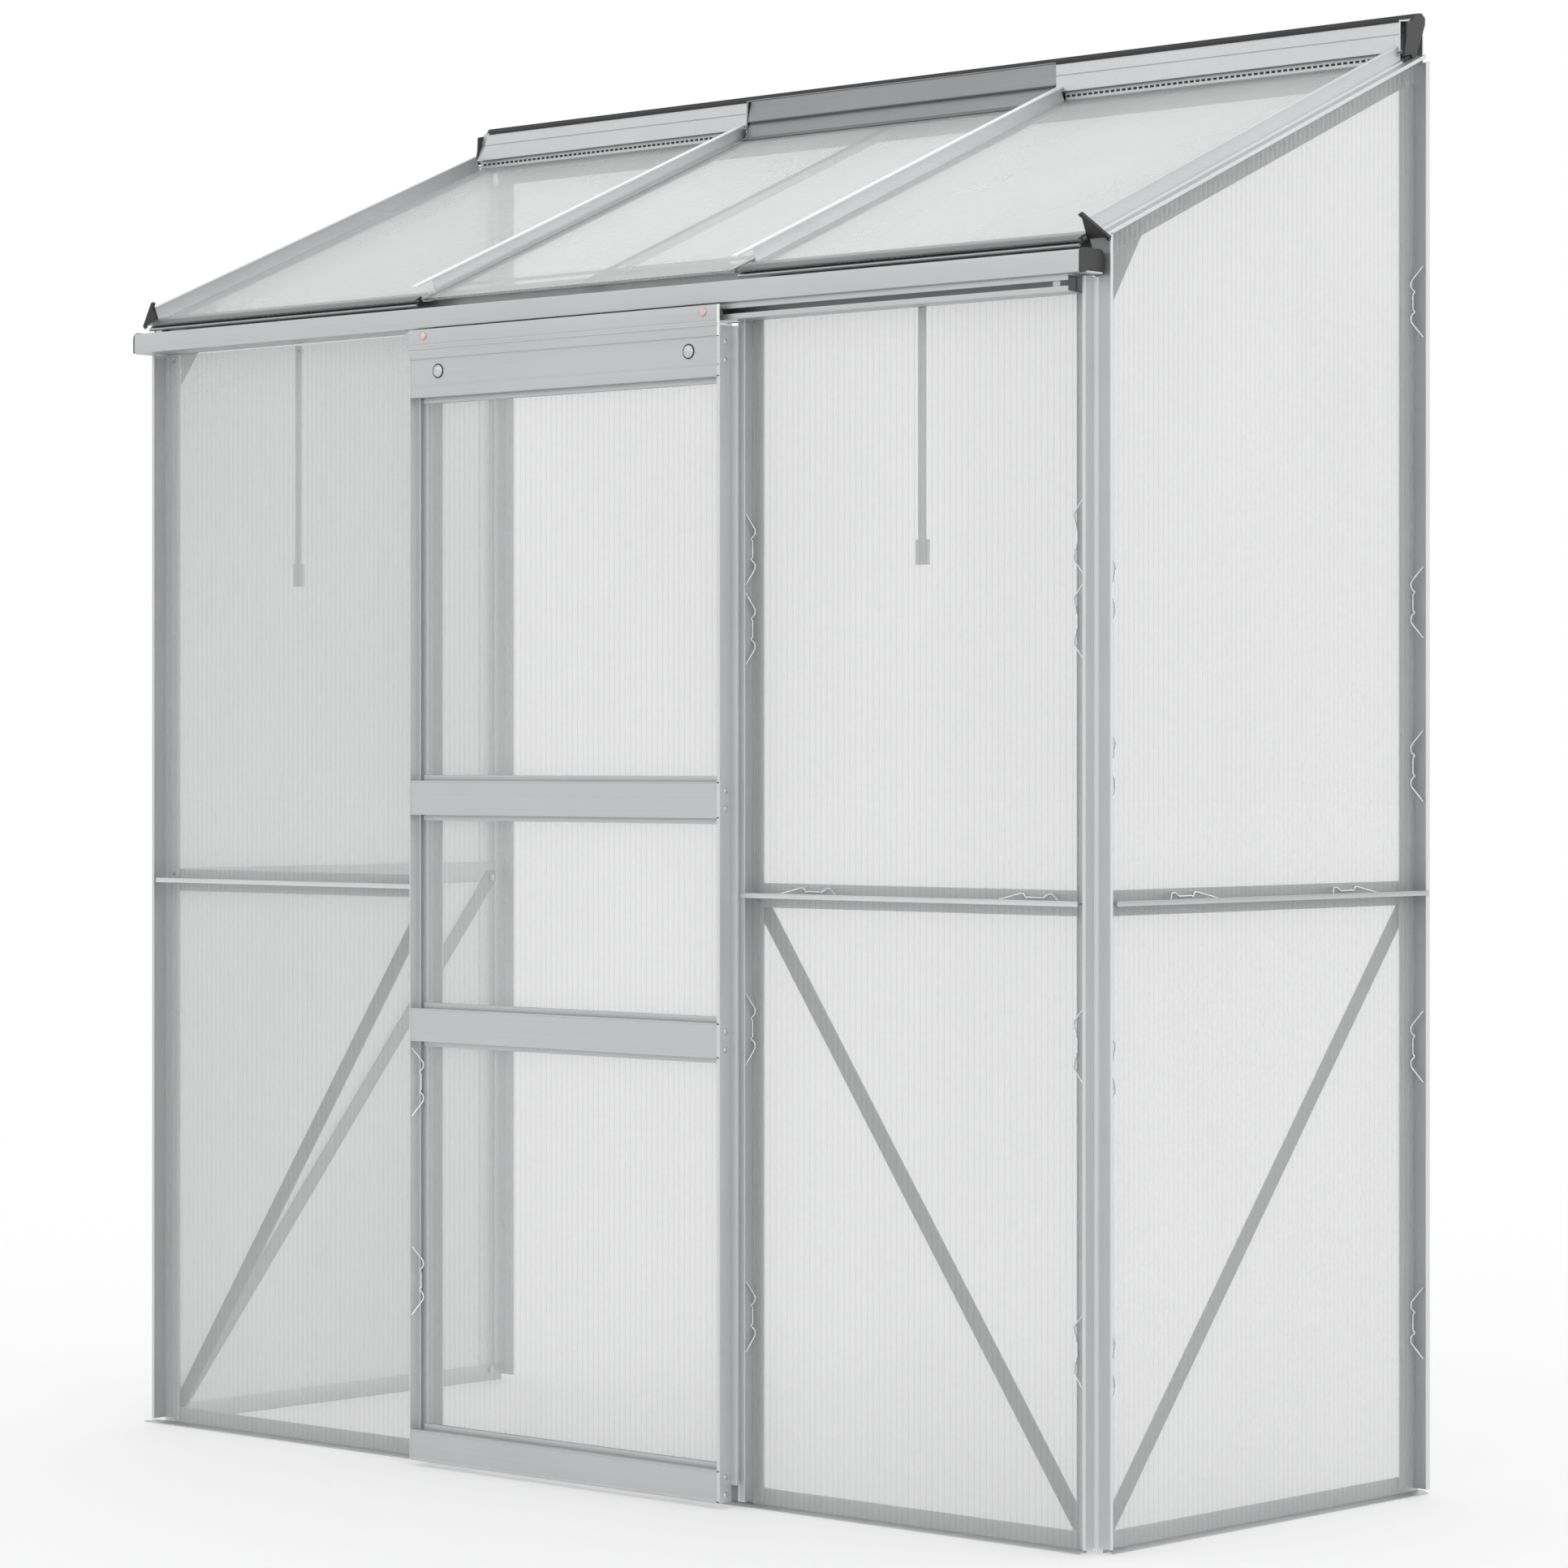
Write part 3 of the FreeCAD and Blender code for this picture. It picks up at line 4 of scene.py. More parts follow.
import bpy
import numpy as np
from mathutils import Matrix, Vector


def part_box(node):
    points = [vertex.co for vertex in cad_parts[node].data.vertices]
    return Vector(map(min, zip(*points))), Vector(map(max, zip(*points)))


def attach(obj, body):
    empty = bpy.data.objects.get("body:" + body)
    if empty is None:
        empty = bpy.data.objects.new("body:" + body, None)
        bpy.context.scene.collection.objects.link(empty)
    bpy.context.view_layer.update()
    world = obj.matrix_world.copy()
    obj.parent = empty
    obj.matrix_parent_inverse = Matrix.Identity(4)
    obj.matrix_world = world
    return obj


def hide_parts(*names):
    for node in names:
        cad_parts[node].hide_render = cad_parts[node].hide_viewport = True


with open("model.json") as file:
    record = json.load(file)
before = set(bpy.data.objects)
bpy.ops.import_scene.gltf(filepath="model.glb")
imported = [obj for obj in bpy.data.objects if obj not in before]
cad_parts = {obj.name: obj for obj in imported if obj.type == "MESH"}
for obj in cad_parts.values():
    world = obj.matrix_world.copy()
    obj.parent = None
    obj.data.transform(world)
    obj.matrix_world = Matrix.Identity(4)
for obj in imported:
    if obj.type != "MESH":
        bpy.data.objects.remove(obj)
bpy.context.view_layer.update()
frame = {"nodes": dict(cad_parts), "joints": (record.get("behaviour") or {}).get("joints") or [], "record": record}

bl_info = {
    "name": "Lean-to greenhouse finish",
    "version": (1, 0, 0),
    "blender": (4, 5, 0),
    "location": "3D View > Sidebar > Greenhouse",
    "description": "Dresses the frame of a lean-to greenhouse in extruded bars, fluted sheets and fittings",
    "category": "Object",
}

# Sizes in this file are in millimetres, with x = 0 in the middle of the front, y = 0 in the
# plane that the front sheets lie against, and z = 0 on the ground. place() turns them to metres.
MM = 0.001

# How far that plane is behind the row frame's own y = 0
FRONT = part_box("panel_front_lower_right")[1][1] / MM


def low(node):
    """The lowest corner of a node's box."""
    return np.array(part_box(node)[0]) / MM - (0.0, FRONT, 0.0)


def high(node):
    """The highest corner of a node's box."""
    return np.array(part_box(node)[1]) / MM - (0.0, FRONT, 0.0)


def span(node, axis):
    """The lowest and the highest place of a node's box along an axis."""
    return low(node)[axis], high(node)[axis]


def middle(node):
    """The middle of a node's box."""
    return (low(node) + high(node)) / 2


# Places read from the frame. HALF is the plane that the gables' sheets lie against, JAMB the middle
# of a jamb bar, WALL the back of the rear posts, REAR their web, SLOPE and NORMAL the ways up the
# roof and out of it, and EAVES the height where the plane under the roof's sheets meets y = 0.
# ROOF_LOW is where these sheets end, along the slope from there.
HALF = low("panel_gable_lower_right")[0]
EDGE_GAP = 1.5
JAMB = low("panel_front_lower_right")[0] - EDGE_GAP
WALL = high("rear_post_right")[1]
REAR = high("panel_gable_lower_right")[1] + 0.5
SLOPE = np.array(next(j["axis"] for j in frame["joints"] if j["name"] == "stay_pivot"), float)
NORMAL = np.array([0.0, -SLOPE[2], SLOPE[1]])
ROOF_LOW = -32.0
EAVES = low("roof_panel_right")[2] - ROOF_LOW * SLOPE[2]
DOOR_LEFT = low("door_bottom_rail")[0] - 2.0
DOOR_RIGHT = high("door_bottom_rail")[0] + 2.0
DOOR_FACE = low("door_stile_right")[1]
DOOR_LOW = low("door_stile_right")[2]
DOOR_HIGH = high("door_stile_right")[2]
GUTTER_LOW = low("gutter_end_caps")[2]
RIDGE_LOW = low("ridge_bar")[2]
RAFTER_TOP = high("gable_rafter_right")[1]

# Section sizes. METAL is a wall, FLANGE the thickness behind the sheets, STAND how far a bar stands
# out past that plane, CAP the width of its cap and SIDE_CAP half that of a corner bar's, with the
# bead along a cap's edge. BAR_FLANGE and CORNER_FLANGE are widths behind the sheets.
SHEET = 4.0
METAL = 1.6
FLANGE = 2.0
STAND = 26.0
CAP = 12.5
SIDE_CAP = 2.5
BAR_FLANGE = 36.0
CORNER_FLANGE = 33.0
BEAD = 1.3
BEAD_HIGH = 0.55
POST_FOOT = low("jamb_bar_right")[2]

X = np.array([1.0, 0.0, 0.0])
Y = np.array([0.0, 1.0, 0.0])
Z = np.array([0.0, 0.0, 1.0])

# What carried() takes for a bar along the front: its foot, across, out and along. The base rails'
# outlines run forward instead of back.
ALONG_FRONT = (0, 0, 0), Y, Z, X
ALONG_BASE = (0, 0, 0), -Y, Z, X


def chosen(name):
    """A length from the panel, in millimetres to four places, since it's kept in single precision."""
    return round(getattr(bpy.context.scene.greenhouse, name) / MM, 4)


def place(points):
    """Millimetres from the middle of the front to metres in the row frame."""
    return (np.asarray(points, float) + (0.0, FRONT, 0.0)) * MM


def on_roof(s, n, x=0.0):
    """The point s up the slope from the eaves and n above the roof's plane."""
    return np.array([x, 0.0, EAVES]) + s * SLOPE + n * NORMAL


# Surfaces. Each function gives (points, faces), with the faces' corners turned so that they face out.

def rounded(outline, radius, steps=2):
    """A closed outline whose corners are curves: each corner P between points A and C, one radius
    away along its two sides, becomes the parabola (1-s)^2 A + 2s(1-s) P + s^2 C."""
    corner = np.asarray(outline, float)
    back = np.roll(corner, 1, 0) - corner
    ahead = np.roll(corner, -1, 0) - corner
    back_long = np.linalg.norm(back, axis=1, keepdims=True)
    ahead_long = np.linalg.norm(ahead, axis=1, keepdims=True)
    reach = np.broadcast_to(np.asarray(radius, float).reshape(-1, 1), back_long.shape)
    reach = np.minimum(reach, 0.45 * np.minimum(back_long, ahead_long))
    start = corner + back / back_long * reach
    end = corner + ahead / ahead_long * reach
    s = np.linspace(0, 1, steps + 1)[None, :, None]
    curve = (1 - s) ** 2 * start[:, None] + 2 * s * (1 - s) * corner[:, None] + s ** 2 * end[:, None]
    return curve.reshape(-1, 2)


def ribbon(points, thick):
    """The outline of a strip of even thickness folded along an open line: both sides of the line,
    half a thickness away, with each corner moved out along its mitre."""
    line = np.asarray(points, float)
    way = np.diff(line, axis=0)
    way /= np.linalg.norm(way, axis=1, keepdims=True)
    left = np.stack([-way[:, 1], way[:, 0]], 1)
    mitre = left[:-1] + left[1:]
    mitre *= 2 / (mitre ** 2).sum(1, keepdims=True)
    shift = np.vstack([left[:1], mitre, left[-1:]]) * thick / 2
    return np.vstack([line + shift, (line - shift)[::-1]])


def ring_faces(rows, sides):
    """The quads between rows of points, where each row closes into a ring and starts at the
    multiple of its length: (points' numbers in a ring, the next ones, quads)."""
    k = np.arange(sides)
    after = (k + 1) % sides
    row = np.arange(rows - 1)[:, None] * sides
    quads = np.stack([row + k, row + after, row + sides + after, row + sides + k], -1)
    return k, after, quads.reshape(-1, 4).tolist()


def carried(outline, base, across, out, along, start, end):
    """A closed outline carried along a straight line. A point (a, b) of the outline runs from
    base + a across + b out + start along to the same with end. start and end are distances, or
    planes (point, normal) that cut the bar off."""
    flat = np.asarray(outline, float)
    ahead = np.roll(flat, -1, 0)
    area = (flat[:, 0] * ahead[:, 1] - ahead[:, 0] * flat[:, 1]).sum()
    if area * np.dot(np.cross(across, out), along) < 0:
        flat = flat[::-1]
    foot = np.asarray(base, float) + flat[:, :1] * across + flat[:, 1:] * out
    rings = []
    for limit in (start, end):
        if np.isscalar(limit):
            far = np.full(len(foot), float(limit))
        else:
            point, normal = limit
            far = ((np.asarray(point) - foot) @ normal) / np.dot(along, normal)
        rings.append(foot + far[:, None] * along)
    k, _, quads = ring_faces(2, len(foot))
    return np.vstack(rings), quads + [k[::-1].tolist(), (k + len(foot)).tolist()]


def cells(a_lines, b_lines, c_lines, full, bend):
    """The closed surface of a stack of cells: full[i, j, k] says if the cell between lines i, j, k
    and the next ones is solid, a quad stands wherever a solid cell meets an empty one, and bend
    maps the lines' (a, b, c) to points. The quads' (a, c) come back as their own coordinates, with
    a 1 for each quad that faces along a."""
    grid = np.stack(np.meshgrid(a_lines, b_lines, c_lines, indexing="ij"), -1)
    shape = grid.shape[:3]
    number = np.arange(np.prod(shape)).reshape(shape)
    padded = np.pad(full, 1)
    quads = []
    upright = []
    for axis in range(3):
        one, two = [other for other in range(3) if other != axis]
        step = np.diff(padded.astype(int), axis=axis)
        inside = [slice(1, -1)] * 3
        inside[axis] = slice(None)
        step = step[tuple(inside)]
        for sign in (-1, 1):
            at = np.argwhere(step == sign)
            corners = []
            for da, db in ((0, 0), (1, 0), (1, 1), (0, 1)):
                shifted = at.copy()
                shifted[:, one] += da
                shifted[:, two] += db
                corners.append(number[tuple(shifted.T)])
            quad = np.stack(corners, 1)
            turned_round = (sign == 1) != (axis == 1)
            quads.append(quad[:, ::-1] if turned_round else quad)
            upright.append(np.full(len(quad), axis == 0))
    quads = np.vstack(quads)
    used, quads = np.unique(quads, return_inverse=True)
    flat = grid.reshape(-1, 3)[used]
    quads = quads.reshape(-1, 4)
    return bend(flat), quads.tolist(), flat[quads.ravel()][:, [0, 2]], np.concatenate(upright).astype(int)


def turned(profile, centre, axis, sides=24):
    """A profile of (radius, distance along the axis) turned about the axis. Its first and last
    points lie on the axis, and each is one vertex."""
    profile = np.asarray(profile, float)
    axis = np.asarray(axis, float)
    side = np.cross(axis, X if abs(axis[0]) < 0.9 else Y)
    side /= np.linalg.norm(side)
    other = np.cross(axis, side)
    turn = np.linspace(0, 2 * np.pi, sides, endpoint=False)
    ring = np.cos(turn)[:, None] * side + np.sin(turn)[:, None] * other
    inner = profile[1:-1]
    body = inner[:, 0, None, None] * ring + inner[:, 1, None, None] * axis
    poles = profile[[0, -1], 1][:, None] * axis
    points = np.vstack([body.reshape(-1, 3), poles]) + centre
    rows = len(inner)
    k, after, quads = ring_faces(rows, sides)
    first = np.stack([after, k, np.full(sides, rows * sides)], 1)
    last_row = (rows - 1) * sides
    last = np.stack([last_row + k, last_row + after, np.full(sides, rows * sides + 1)], 1)
    return points, quads + first.tolist() + last.tolist()


def bent_wire(points, radius, sides=8, steps=4):
    """A round wire along a smooth line through points: Catmull-Rom pieces between them, each ring
    square to the line, and a flat end cap at each end."""
    knots = np.asarray(points, float)
    knots = np.vstack([2 * knots[0] - knots[1], knots, 2 * knots[-1] - knots[-2]])
    s = np.linspace(0, 1, steps, endpoint=False)[None, :, None]
    p0, p1, p2, p3 = (knots[k:len(knots) - 3 + k, None] for k in range(4))
    line = 0.5 * (2 * p1 + (p2 - p0) * s + (2 * p0 - 5 * p1 + 4 * p2 - p3) * s ** 2
                  + (3 * p1 - p0 - 3 * p2 + p3) * s ** 3)
    line = np.vstack([line.reshape(-1, 3), knots[-2]])
    way = np.gradient(line, axis=0)
    way /= np.linalg.norm(way, axis=1, keepdims=True)
    side = np.cross(way, np.cross(line[-1] - line[0], line[len(line) // 3] - line[0]))
    side /= np.linalg.norm(side, axis=1, keepdims=True)
    other = np.cross(way, side)
    turn = np.linspace(0, 2 * np.pi, sides, endpoint=False)
    ring = np.cos(turn)[:, None, None] * side + np.sin(turn)[:, None, None] * other
    body = (line + radius * ring).transpose(1, 0, 2).reshape(-1, 3)
    k, _, quads = ring_faces(len(line), sides)
    return body, quads + [k[::-1].tolist(), (k + (len(line) - 1) * sides).tolist()]


def reflected(shape):
    """The same surface on the other side of the middle, still facing out."""
    points, faces = shape
    return points * (-1, 1, 1), [face[::-1] for face in faces]


SIDES = (("right", lambda shape: shape), ("left", reflected))


def both(shape):
    """A surface of the right side, and the same one on the left."""
    return [shape, reflected(shape)]


def shown(name, data):
    """A new object in the scene, of a mesh, a camera or a lamp."""
    made = bpy.data.objects.new(name, data)
    bpy.context.scene.collection.objects.link(made)
    return made


def piece(name, parts, finish, *nodes, body="root", uv=None, crease=30):
    """Makes one object of some surfaces, gives it its finish and its body, and hides the nodes that it
    stands for. Faces that meet at less than the crease are shaded as one curve."""
    faces = []
    start = 0
    for points, part_faces in parts:
        faces += [[corner + start for corner in face] for face in part_faces]
        start += len(points)
    mesh = bpy.data.meshes.new(name)
    mesh.from_pydata(place(np.vstack([part[0] for part in parts])).tolist(), [], faces)
    if uv is not None:
        layer = mesh.uv_layers.new(name="flutes")
        layer.data.foreach_set("uv", np.asarray(uv, np.float32).ravel())
    mesh.shade_smooth()
    mesh.set_sharp_from_angle(angle=math.radians(crease))
    mesh.materials.append(MADE[finish])
    made = shown(name, mesh)
    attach(made, body)
    if nodes:
        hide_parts(*nodes)
    return made


def pairs(*wanted):
    """Makes pieces on the right and their reflections on the left. Each is given as the name that
    its two nodes share, its surfaces on the right, and its finish."""
    for side, turn in SIDES:
        for node, parts, finish in wanted:
            piece("%s_dressed_%s" % (node, side), [turn(part) for part in parts], finish, "%s_%s" % (node, side))


# Materials

def linear(colour):
    """An sRGB hex value such as "C8C8C8" as linear red, green, blue and a full alpha. A colour from
    the panel is linear already."""
    if not isinstance(colour, str):
        return (*colour, 1.0)
    value = np.array([int(colour[k:k + 2], 16) for k in (0, 2, 4)]) / 255
    value = np.where(value <= 0.04045, value / 12.92, ((value + 0.055) / 1.055) ** 2.4)
    return (*value.tolist(), 1.0)


def add(tree, kind, links=None, stops=(), **settings):
    """Adds a node, sets its inputs (by name) or its own settings, and links inputs to sockets.
    stops are a ramp's (position, colour) pairs."""
    node = tree.nodes.new(kind)
    for key, value in settings.items():
        if key in node.inputs:
            node.inputs[key].default_value = value
        else:
            setattr(node, key, value)
    for key, socket in (links or {}).items():
        tree.links.new(socket, node.inputs[key])
    if stops:
        elements = node.color_ramp.elements
        while len(elements) < len(stops):
            elements.new(0.5)
        for element, (position, colour) in zip(elements, stops):
            element.position = position
            element.color = linear(colour)
    return node


def blank(name):
    """A new material with no nodes, and its node tree."""
    material = bpy.data.materials.new(name)
    material.use_nodes = True
    material.node_tree.nodes.clear()
    return material, material.node_tree


def shade(tree, links, **settings):
    """Puts a Principled shader on the material's output."""
    shader = add(tree, "ShaderNodeBsdfPrincipled", links, **settings)
    add(tree, "ShaderNodeOutputMaterial", {"Surface": shader.outputs["BSDF"]})


GRAIN_DEEP = 0.0002


def grained(name, scale, detail, tones, rough, relief=0.0, stretch=(1, 1, 1), cloudy=False, **settings):
    """A finish that follows one noise on the piece's own coordinates: its tone runs between two
    colours, its roughness between two values, and relief is how strongly it stands out. A cloudy
    one is mixed with slow changes of tone from handling, which leave no relief."""
    material, tree = blank(name)
    where = add(tree, "ShaderNodeTexCoord").outputs["Object"]
    spot = add(tree, "ShaderNodeMapping", {"Vector": where}, Scale=stretch).outputs["Vector"]
    grain = add(tree, "ShaderNodeTexNoise", {"Vector": spot}, Scale=scale, Detail=detail).outputs["Fac"]
    tone = grain
    if cloudy:
        cloud = add(tree, "ShaderNodeTexNoise", {"Vector": where}, Scale=6.0, Detail=4.0).outputs["Fac"]
        tone = add(tree, "ShaderNodeMix", {"A": grain, "B": cloud}, Factor=0.5).outputs["Result"]
    gloss = {"To Min": rough[0], "To Max": rough[1]}
    links = {
        "Base Color": add(tree, "ShaderNodeValToRGB", {"Fac": tone}, stops=tones).outputs["Color"],
        "Roughness": add(tree, "ShaderNodeMapRange", {"Value": tone}, **gloss).outputs["Result"],
    }
    if relief:
        bump = add(tree, "ShaderNodeBump", {"Height": grain}, Strength=relief, Distance=GRAIN_DEEP)
        links["Normal"] = bump.outputs["Normal"]
    shade(tree, links, **settings)
    return material


def two_tones(dark, pale, least=0.3):
    """A noise's usual reach on a ramp, from the dark colour to the pale one."""
    return [(least, dark), (1 - least, pale)]


def mill_aluminium(where, axis, dark, pale):
    """Extruded aluminium, mill finish: soft grey, satin, with faint die lines along the bar and
    a slow change of tone from handling. The lines are about 2.5 mm apart, drawn as coarse as shows
    from a few metres, and half a metre long."""
    across = 1 / 0.0025
    along = 1 / 0.5
    stretch = tuple(along if k == axis else across for k in range(3))
    return grained("mill aluminium " + where, 1.0, 3.0, two_tones(dark, pale), (0.42, 0.52), 0.04, stretch,
                   cloudy=True, Metallic=0.85)


def flat_aluminium(name, dark, pale):
    """Rolled aluminium bar, sheared and punched: a little duller than the extrusions, with
    rolling marks and scattered fine scratches."""
    return grained(name, 1.0, 5.0, two_tones(dark, pale, 0.25), (0.4, 0.6), 0.1, (150, 150, 30), Metallic=0.85)


POLYCARBONATE_IOR = 1.58
SOFT_HAZE = {"Scale": 3.0, "Detail": 3.0}


def sheet_haze(tree):
    """The slow unevenness of an extruded sheet, longer up the sheet than across it."""
    where = add(tree, "ShaderNodeTexCoord").outputs["Object"]
    spot = add(tree, "ShaderNodeMapping", {"Vector": where}, Scale=(1, 1, 0.4)).outputs["Vector"]
    return add(tree, "ShaderNodeTexNoise", {"Vector": spot}, **SOFT_HAZE).outputs["Fac"]


def twin_wall(name, alpha, rib, skin):
    """Clear twin-wall polycarbonate, extruded: milky and glossy, with a sink line at each rib, over which
    the rib colour paints shade. Each of its four faces hides a little of what lies behind."""
    material, tree = blank(name)
    where = add(tree, "ShaderNodeUVMap", uv_map="flutes").outputs["UV"]
    across = add(tree, "ShaderNodeSeparateXYZ", {"Vector": where}).outputs["X"]
    phase = add(tree, "ShaderNodeMath", {0: across}, operation="FRACT").outputs[0]
    # Painted shade: the rib colour darkens a band over each rib, for the shade in its sink line and of the rib seen
    # through the skin.
    lines = add(tree, "ShaderNodeValToRGB", {"Fac": phase}, stops=[(0.0, rib), (0.25, skin), (0.75, skin), (1.0, rib)])
    haze = sheet_haze(tree)
    tone = add(tree, "ShaderNodeValToRGB", {"Fac": haze}, stops=two_tones("F6F6F6", "FFFFFF"))
    mixed = add(tree, "ShaderNodeMix", data_type="RGBA", blend_type="MULTIPLY", Factor=1.0)
    # A mix of colours has its two colours at these inputs, because their names are used twice.
    tree.links.new(lines.outputs["Color"], mixed.inputs[6])
    tree.links.new(tone.outputs["Color"], mixed.inputs[7])
    gloss = add(tree, "ShaderNodeMapRange", {"Value": haze}, **{"To Min": 0.22, "To Max": 0.34})
    shade(tree, {"Base Color": mixed.outputs[2], "Roughness": gloss.outputs["Result"]},
          IOR=POLYCARBONATE_IOR, Alpha=alpha)
    return material


def clear_rib(name):
    """The ribs inside a twin-wall sheet: the same polycarbonate, too thin and clear to show as more
    than a faint line from outside."""
    material, tree = blank(name)
    tone = add(tree, "ShaderNodeValToRGB", {"Fac": sheet_haze(tree)}, stops=two_tones("E4E4E4", "ECECEC"))
    shade(tree, {"Base Color": tone.outputs["Color"]}, Roughness=0.3, IOR=POLYCARBONATE_IOR, Alpha=0.075)
    return material


def moulded(name, dark, pale, rough):
    """An injection-moulded plastic or an extruded rubber: one colour, satin, with a fine
    spark-eroded grain about 0.4 mm across, drawn at 1 mm so that it shows."""
    return grained(name, 1000.0, 2.0, two_tones(dark, pale), (rough - 0.06, rough + 0.06), 0.15, IOR=1.5)


def bright_steel(name, dark, pale, rough):
    """Zinc-plated or galvanised steel: bright, a little mottled by the plating's crystals, about
    3 mm across."""
    return grained(name, 330.0, 2.0, two_tones(dark, pale), (rough - 0.07, rough + 0.07), Metallic=1.0)


# Every finish, under its slot: the function that makes it, and what the function is given. The
# first finish of a slot is also the one for the frame's own nodes.
FINISHES = {
    "mill_aluminium": {
        "along_x": (mill_aluminium, "drawn along x", 0, "bar_dark", "bar_pale"),
        "along_y": (mill_aluminium, "drawn along y", 1, "B4B5B6", "BCBDBE"),
        "along_z": (mill_aluminium, "drawn along z", 2, "CFD0D1", "D7D8D9"),
        "mid_rail": (mill_aluminium, "of the mid-rails", 0, "CFD0D1", "D7D8D9"),
        # Painted shade: the vent's rail is a darker copy of the bars' aluminium, for the shade on its leaning bands.
        "hinge": (mill_aluminium, "of the vent's rail", 0, "949596", "9C9D9E"),
        # Painted shade: the retainers' top, nose and cove are darker copies of the bars' aluminium. The top is darkened
        # against the light it catches facing up; the nose and the cove stand for the shade that falls on them.
        "top_painted_shade": (mill_aluminium, "on top of the retainers", 0, "9FA0A1", "A7A8A9"),
        "nose": (mill_aluminium, "of the retainers' noses", 0, "747576", "7C7D7E"),
        "shaded": (mill_aluminium, "inside the coves", 0, "5C5D5E", "66676A"),
        # Painted light: the two roof bars are a much paler copy of the bars' aluminium, for the brighter light they
        # catch high on the roof.
        "roof_bar": (mill_aluminium, "of the two roof bars", 1, "E8E9EA", "F1F2F3"),
        "roof": (mill_aluminium, "of the rafters", 1, "CBCCCD", "D5D6D7"),
    },
    "flat_aluminium": {"flat": (flat_aluminium, "rolled flat aluminium", "8E8F90", "9C9D9E")},
    "twin_wall_sheet": {
        # Each sheet's rib colour is painted shade along its ribs.
        "sheet": (twin_wall, "twin-wall polycarbonate", "sheet_veil", "sheet_rib", "sheet_skin"),
        "roof_sheet": (twin_wall, "twin-wall polycarbonate of the roof, milkier", 0.32, "D0D1D1", "DCDDDD"),
        "rib": (clear_rib, "twin-wall polycarbonate, ribs"),
    },
    "rubber_seal": {"rubber": (moulded, "extruded EPDM rubber", "1C1C1C", "2B2B2B", 0.6)},
    "grey_moulding": {"grey_plastic": (moulded, "moulded dark grey ABS", "2E2E2E", "3A3A3A", 0.5)},
    "black_moulding": {"black_plastic": (moulded, "moulded black ABS", "1A1A1A", "2A2A2A", 0.45)},
    "white_nylon": {"nylon": (moulded, "moulded natural nylon", "E6E6E2", "F4F4F0", 0.4)},
    "zinc_steel": {
        "zinc": (bright_steel, "zinc-plated steel", "B8B8BA", "D8D8DA", 0.3),
        "passivated": (bright_steel, "zinc-plated steel, passivated faintly pink", "C9A9A4", "E6D2CE", 0.3),
    },
    "spring_wire": {"wire": (bright_steel, "drawn spring wire", "DCDCDE", "F4F4F6", 0.25)},
}

MADE = {}


def make_finishes(settings):
    """Makes every finish. A value that names one of the panel's settings is read from there."""
    for finishes in FINISHES.values():
        for key, (make, *values) in finishes.items():
            MADE[key] = make(*(getattr(settings, str(value), value) for value in values))


# Sections

def tee(flange, stand, cap, foot=0.0):
    """A T-bar's outline: a flange just under foot, a web, and a cap with a bead and a drip along
    each edge. The right half is listed, and mirrored for the left."""
    wide = flange / 2
    tip = cap / 2
    web = METAL / 2
    under = stand - METAL
    right = [
        (wide, foot - FLANGE), (wide, foot - 0.4), (wide - 1.2, foot), (web, foot),
        (web, under - BEAD_HIGH), (tip - BEAD, under - BEAD_HIGH), (tip - BEAD, under - 1.2), (tip, under - 1.2),
        (tip, stand - 0.3), (tip - 0.3, stand), (tip - BEAD, stand), (tip - BEAD - 0.4, stand - BEAD_HIGH),
    ]
    left = [(-a, b) for a, b in right[::-1]]
    return right + left


def side_blade():
    """The corner bar's outer web and its cap: a runs out of the gable."""
    web = METAL / 2
    under = STAND - METAL - 0.8
    cap = [(under, -SIDE_CAP), (STAND, -SIDE_CAP), (STAND, SIDE_CAP), (under, SIDE_CAP)]
    return [(0, -web), (under, -web), *cap, (under, web), (0, web)]


def corner_section():
    """The corner bar's outline: flanges behind both sheets, two webs at right angles that stand
    out past the sheets with beaded caps, and a round rib in the angle between them. a runs out
    of the gable, b out of the front."""
    web = METAL / 2
    under = STAND - METAL - 0.8
    rib = 4.2
    return [
        (-SIDE_CAP, STAND), (-SIDE_CAP, under), (-web, under), (-web, 0.0), (-CORNER_FLANGE, 0.0),
        (-CORNER_FLANGE, -FLANGE), (-FLANGE, -FLANGE), (-FLANGE, -CORNER_FLANGE), (0.0, -CORNER_FLANGE),
        (0.0, -web), (under, -web), (under, -SIDE_CAP), (STAND, -SIDE_CAP), (STAND, SIDE_CAP), (under, SIDE_CAP),
        (under, web), (rib + 1, web), (rib, rib - 1.0), (rib - 1.0, rib), (web, rib + 1), (web, under),
        (SIDE_CAP, under), (SIDE_CAP, STAND),
    ]


def roof_cut(n):
    """The plane n from the roof's glazing plane, to cut uprights off."""
    return on_roof(0.0, n), NORMAL


# Pieces

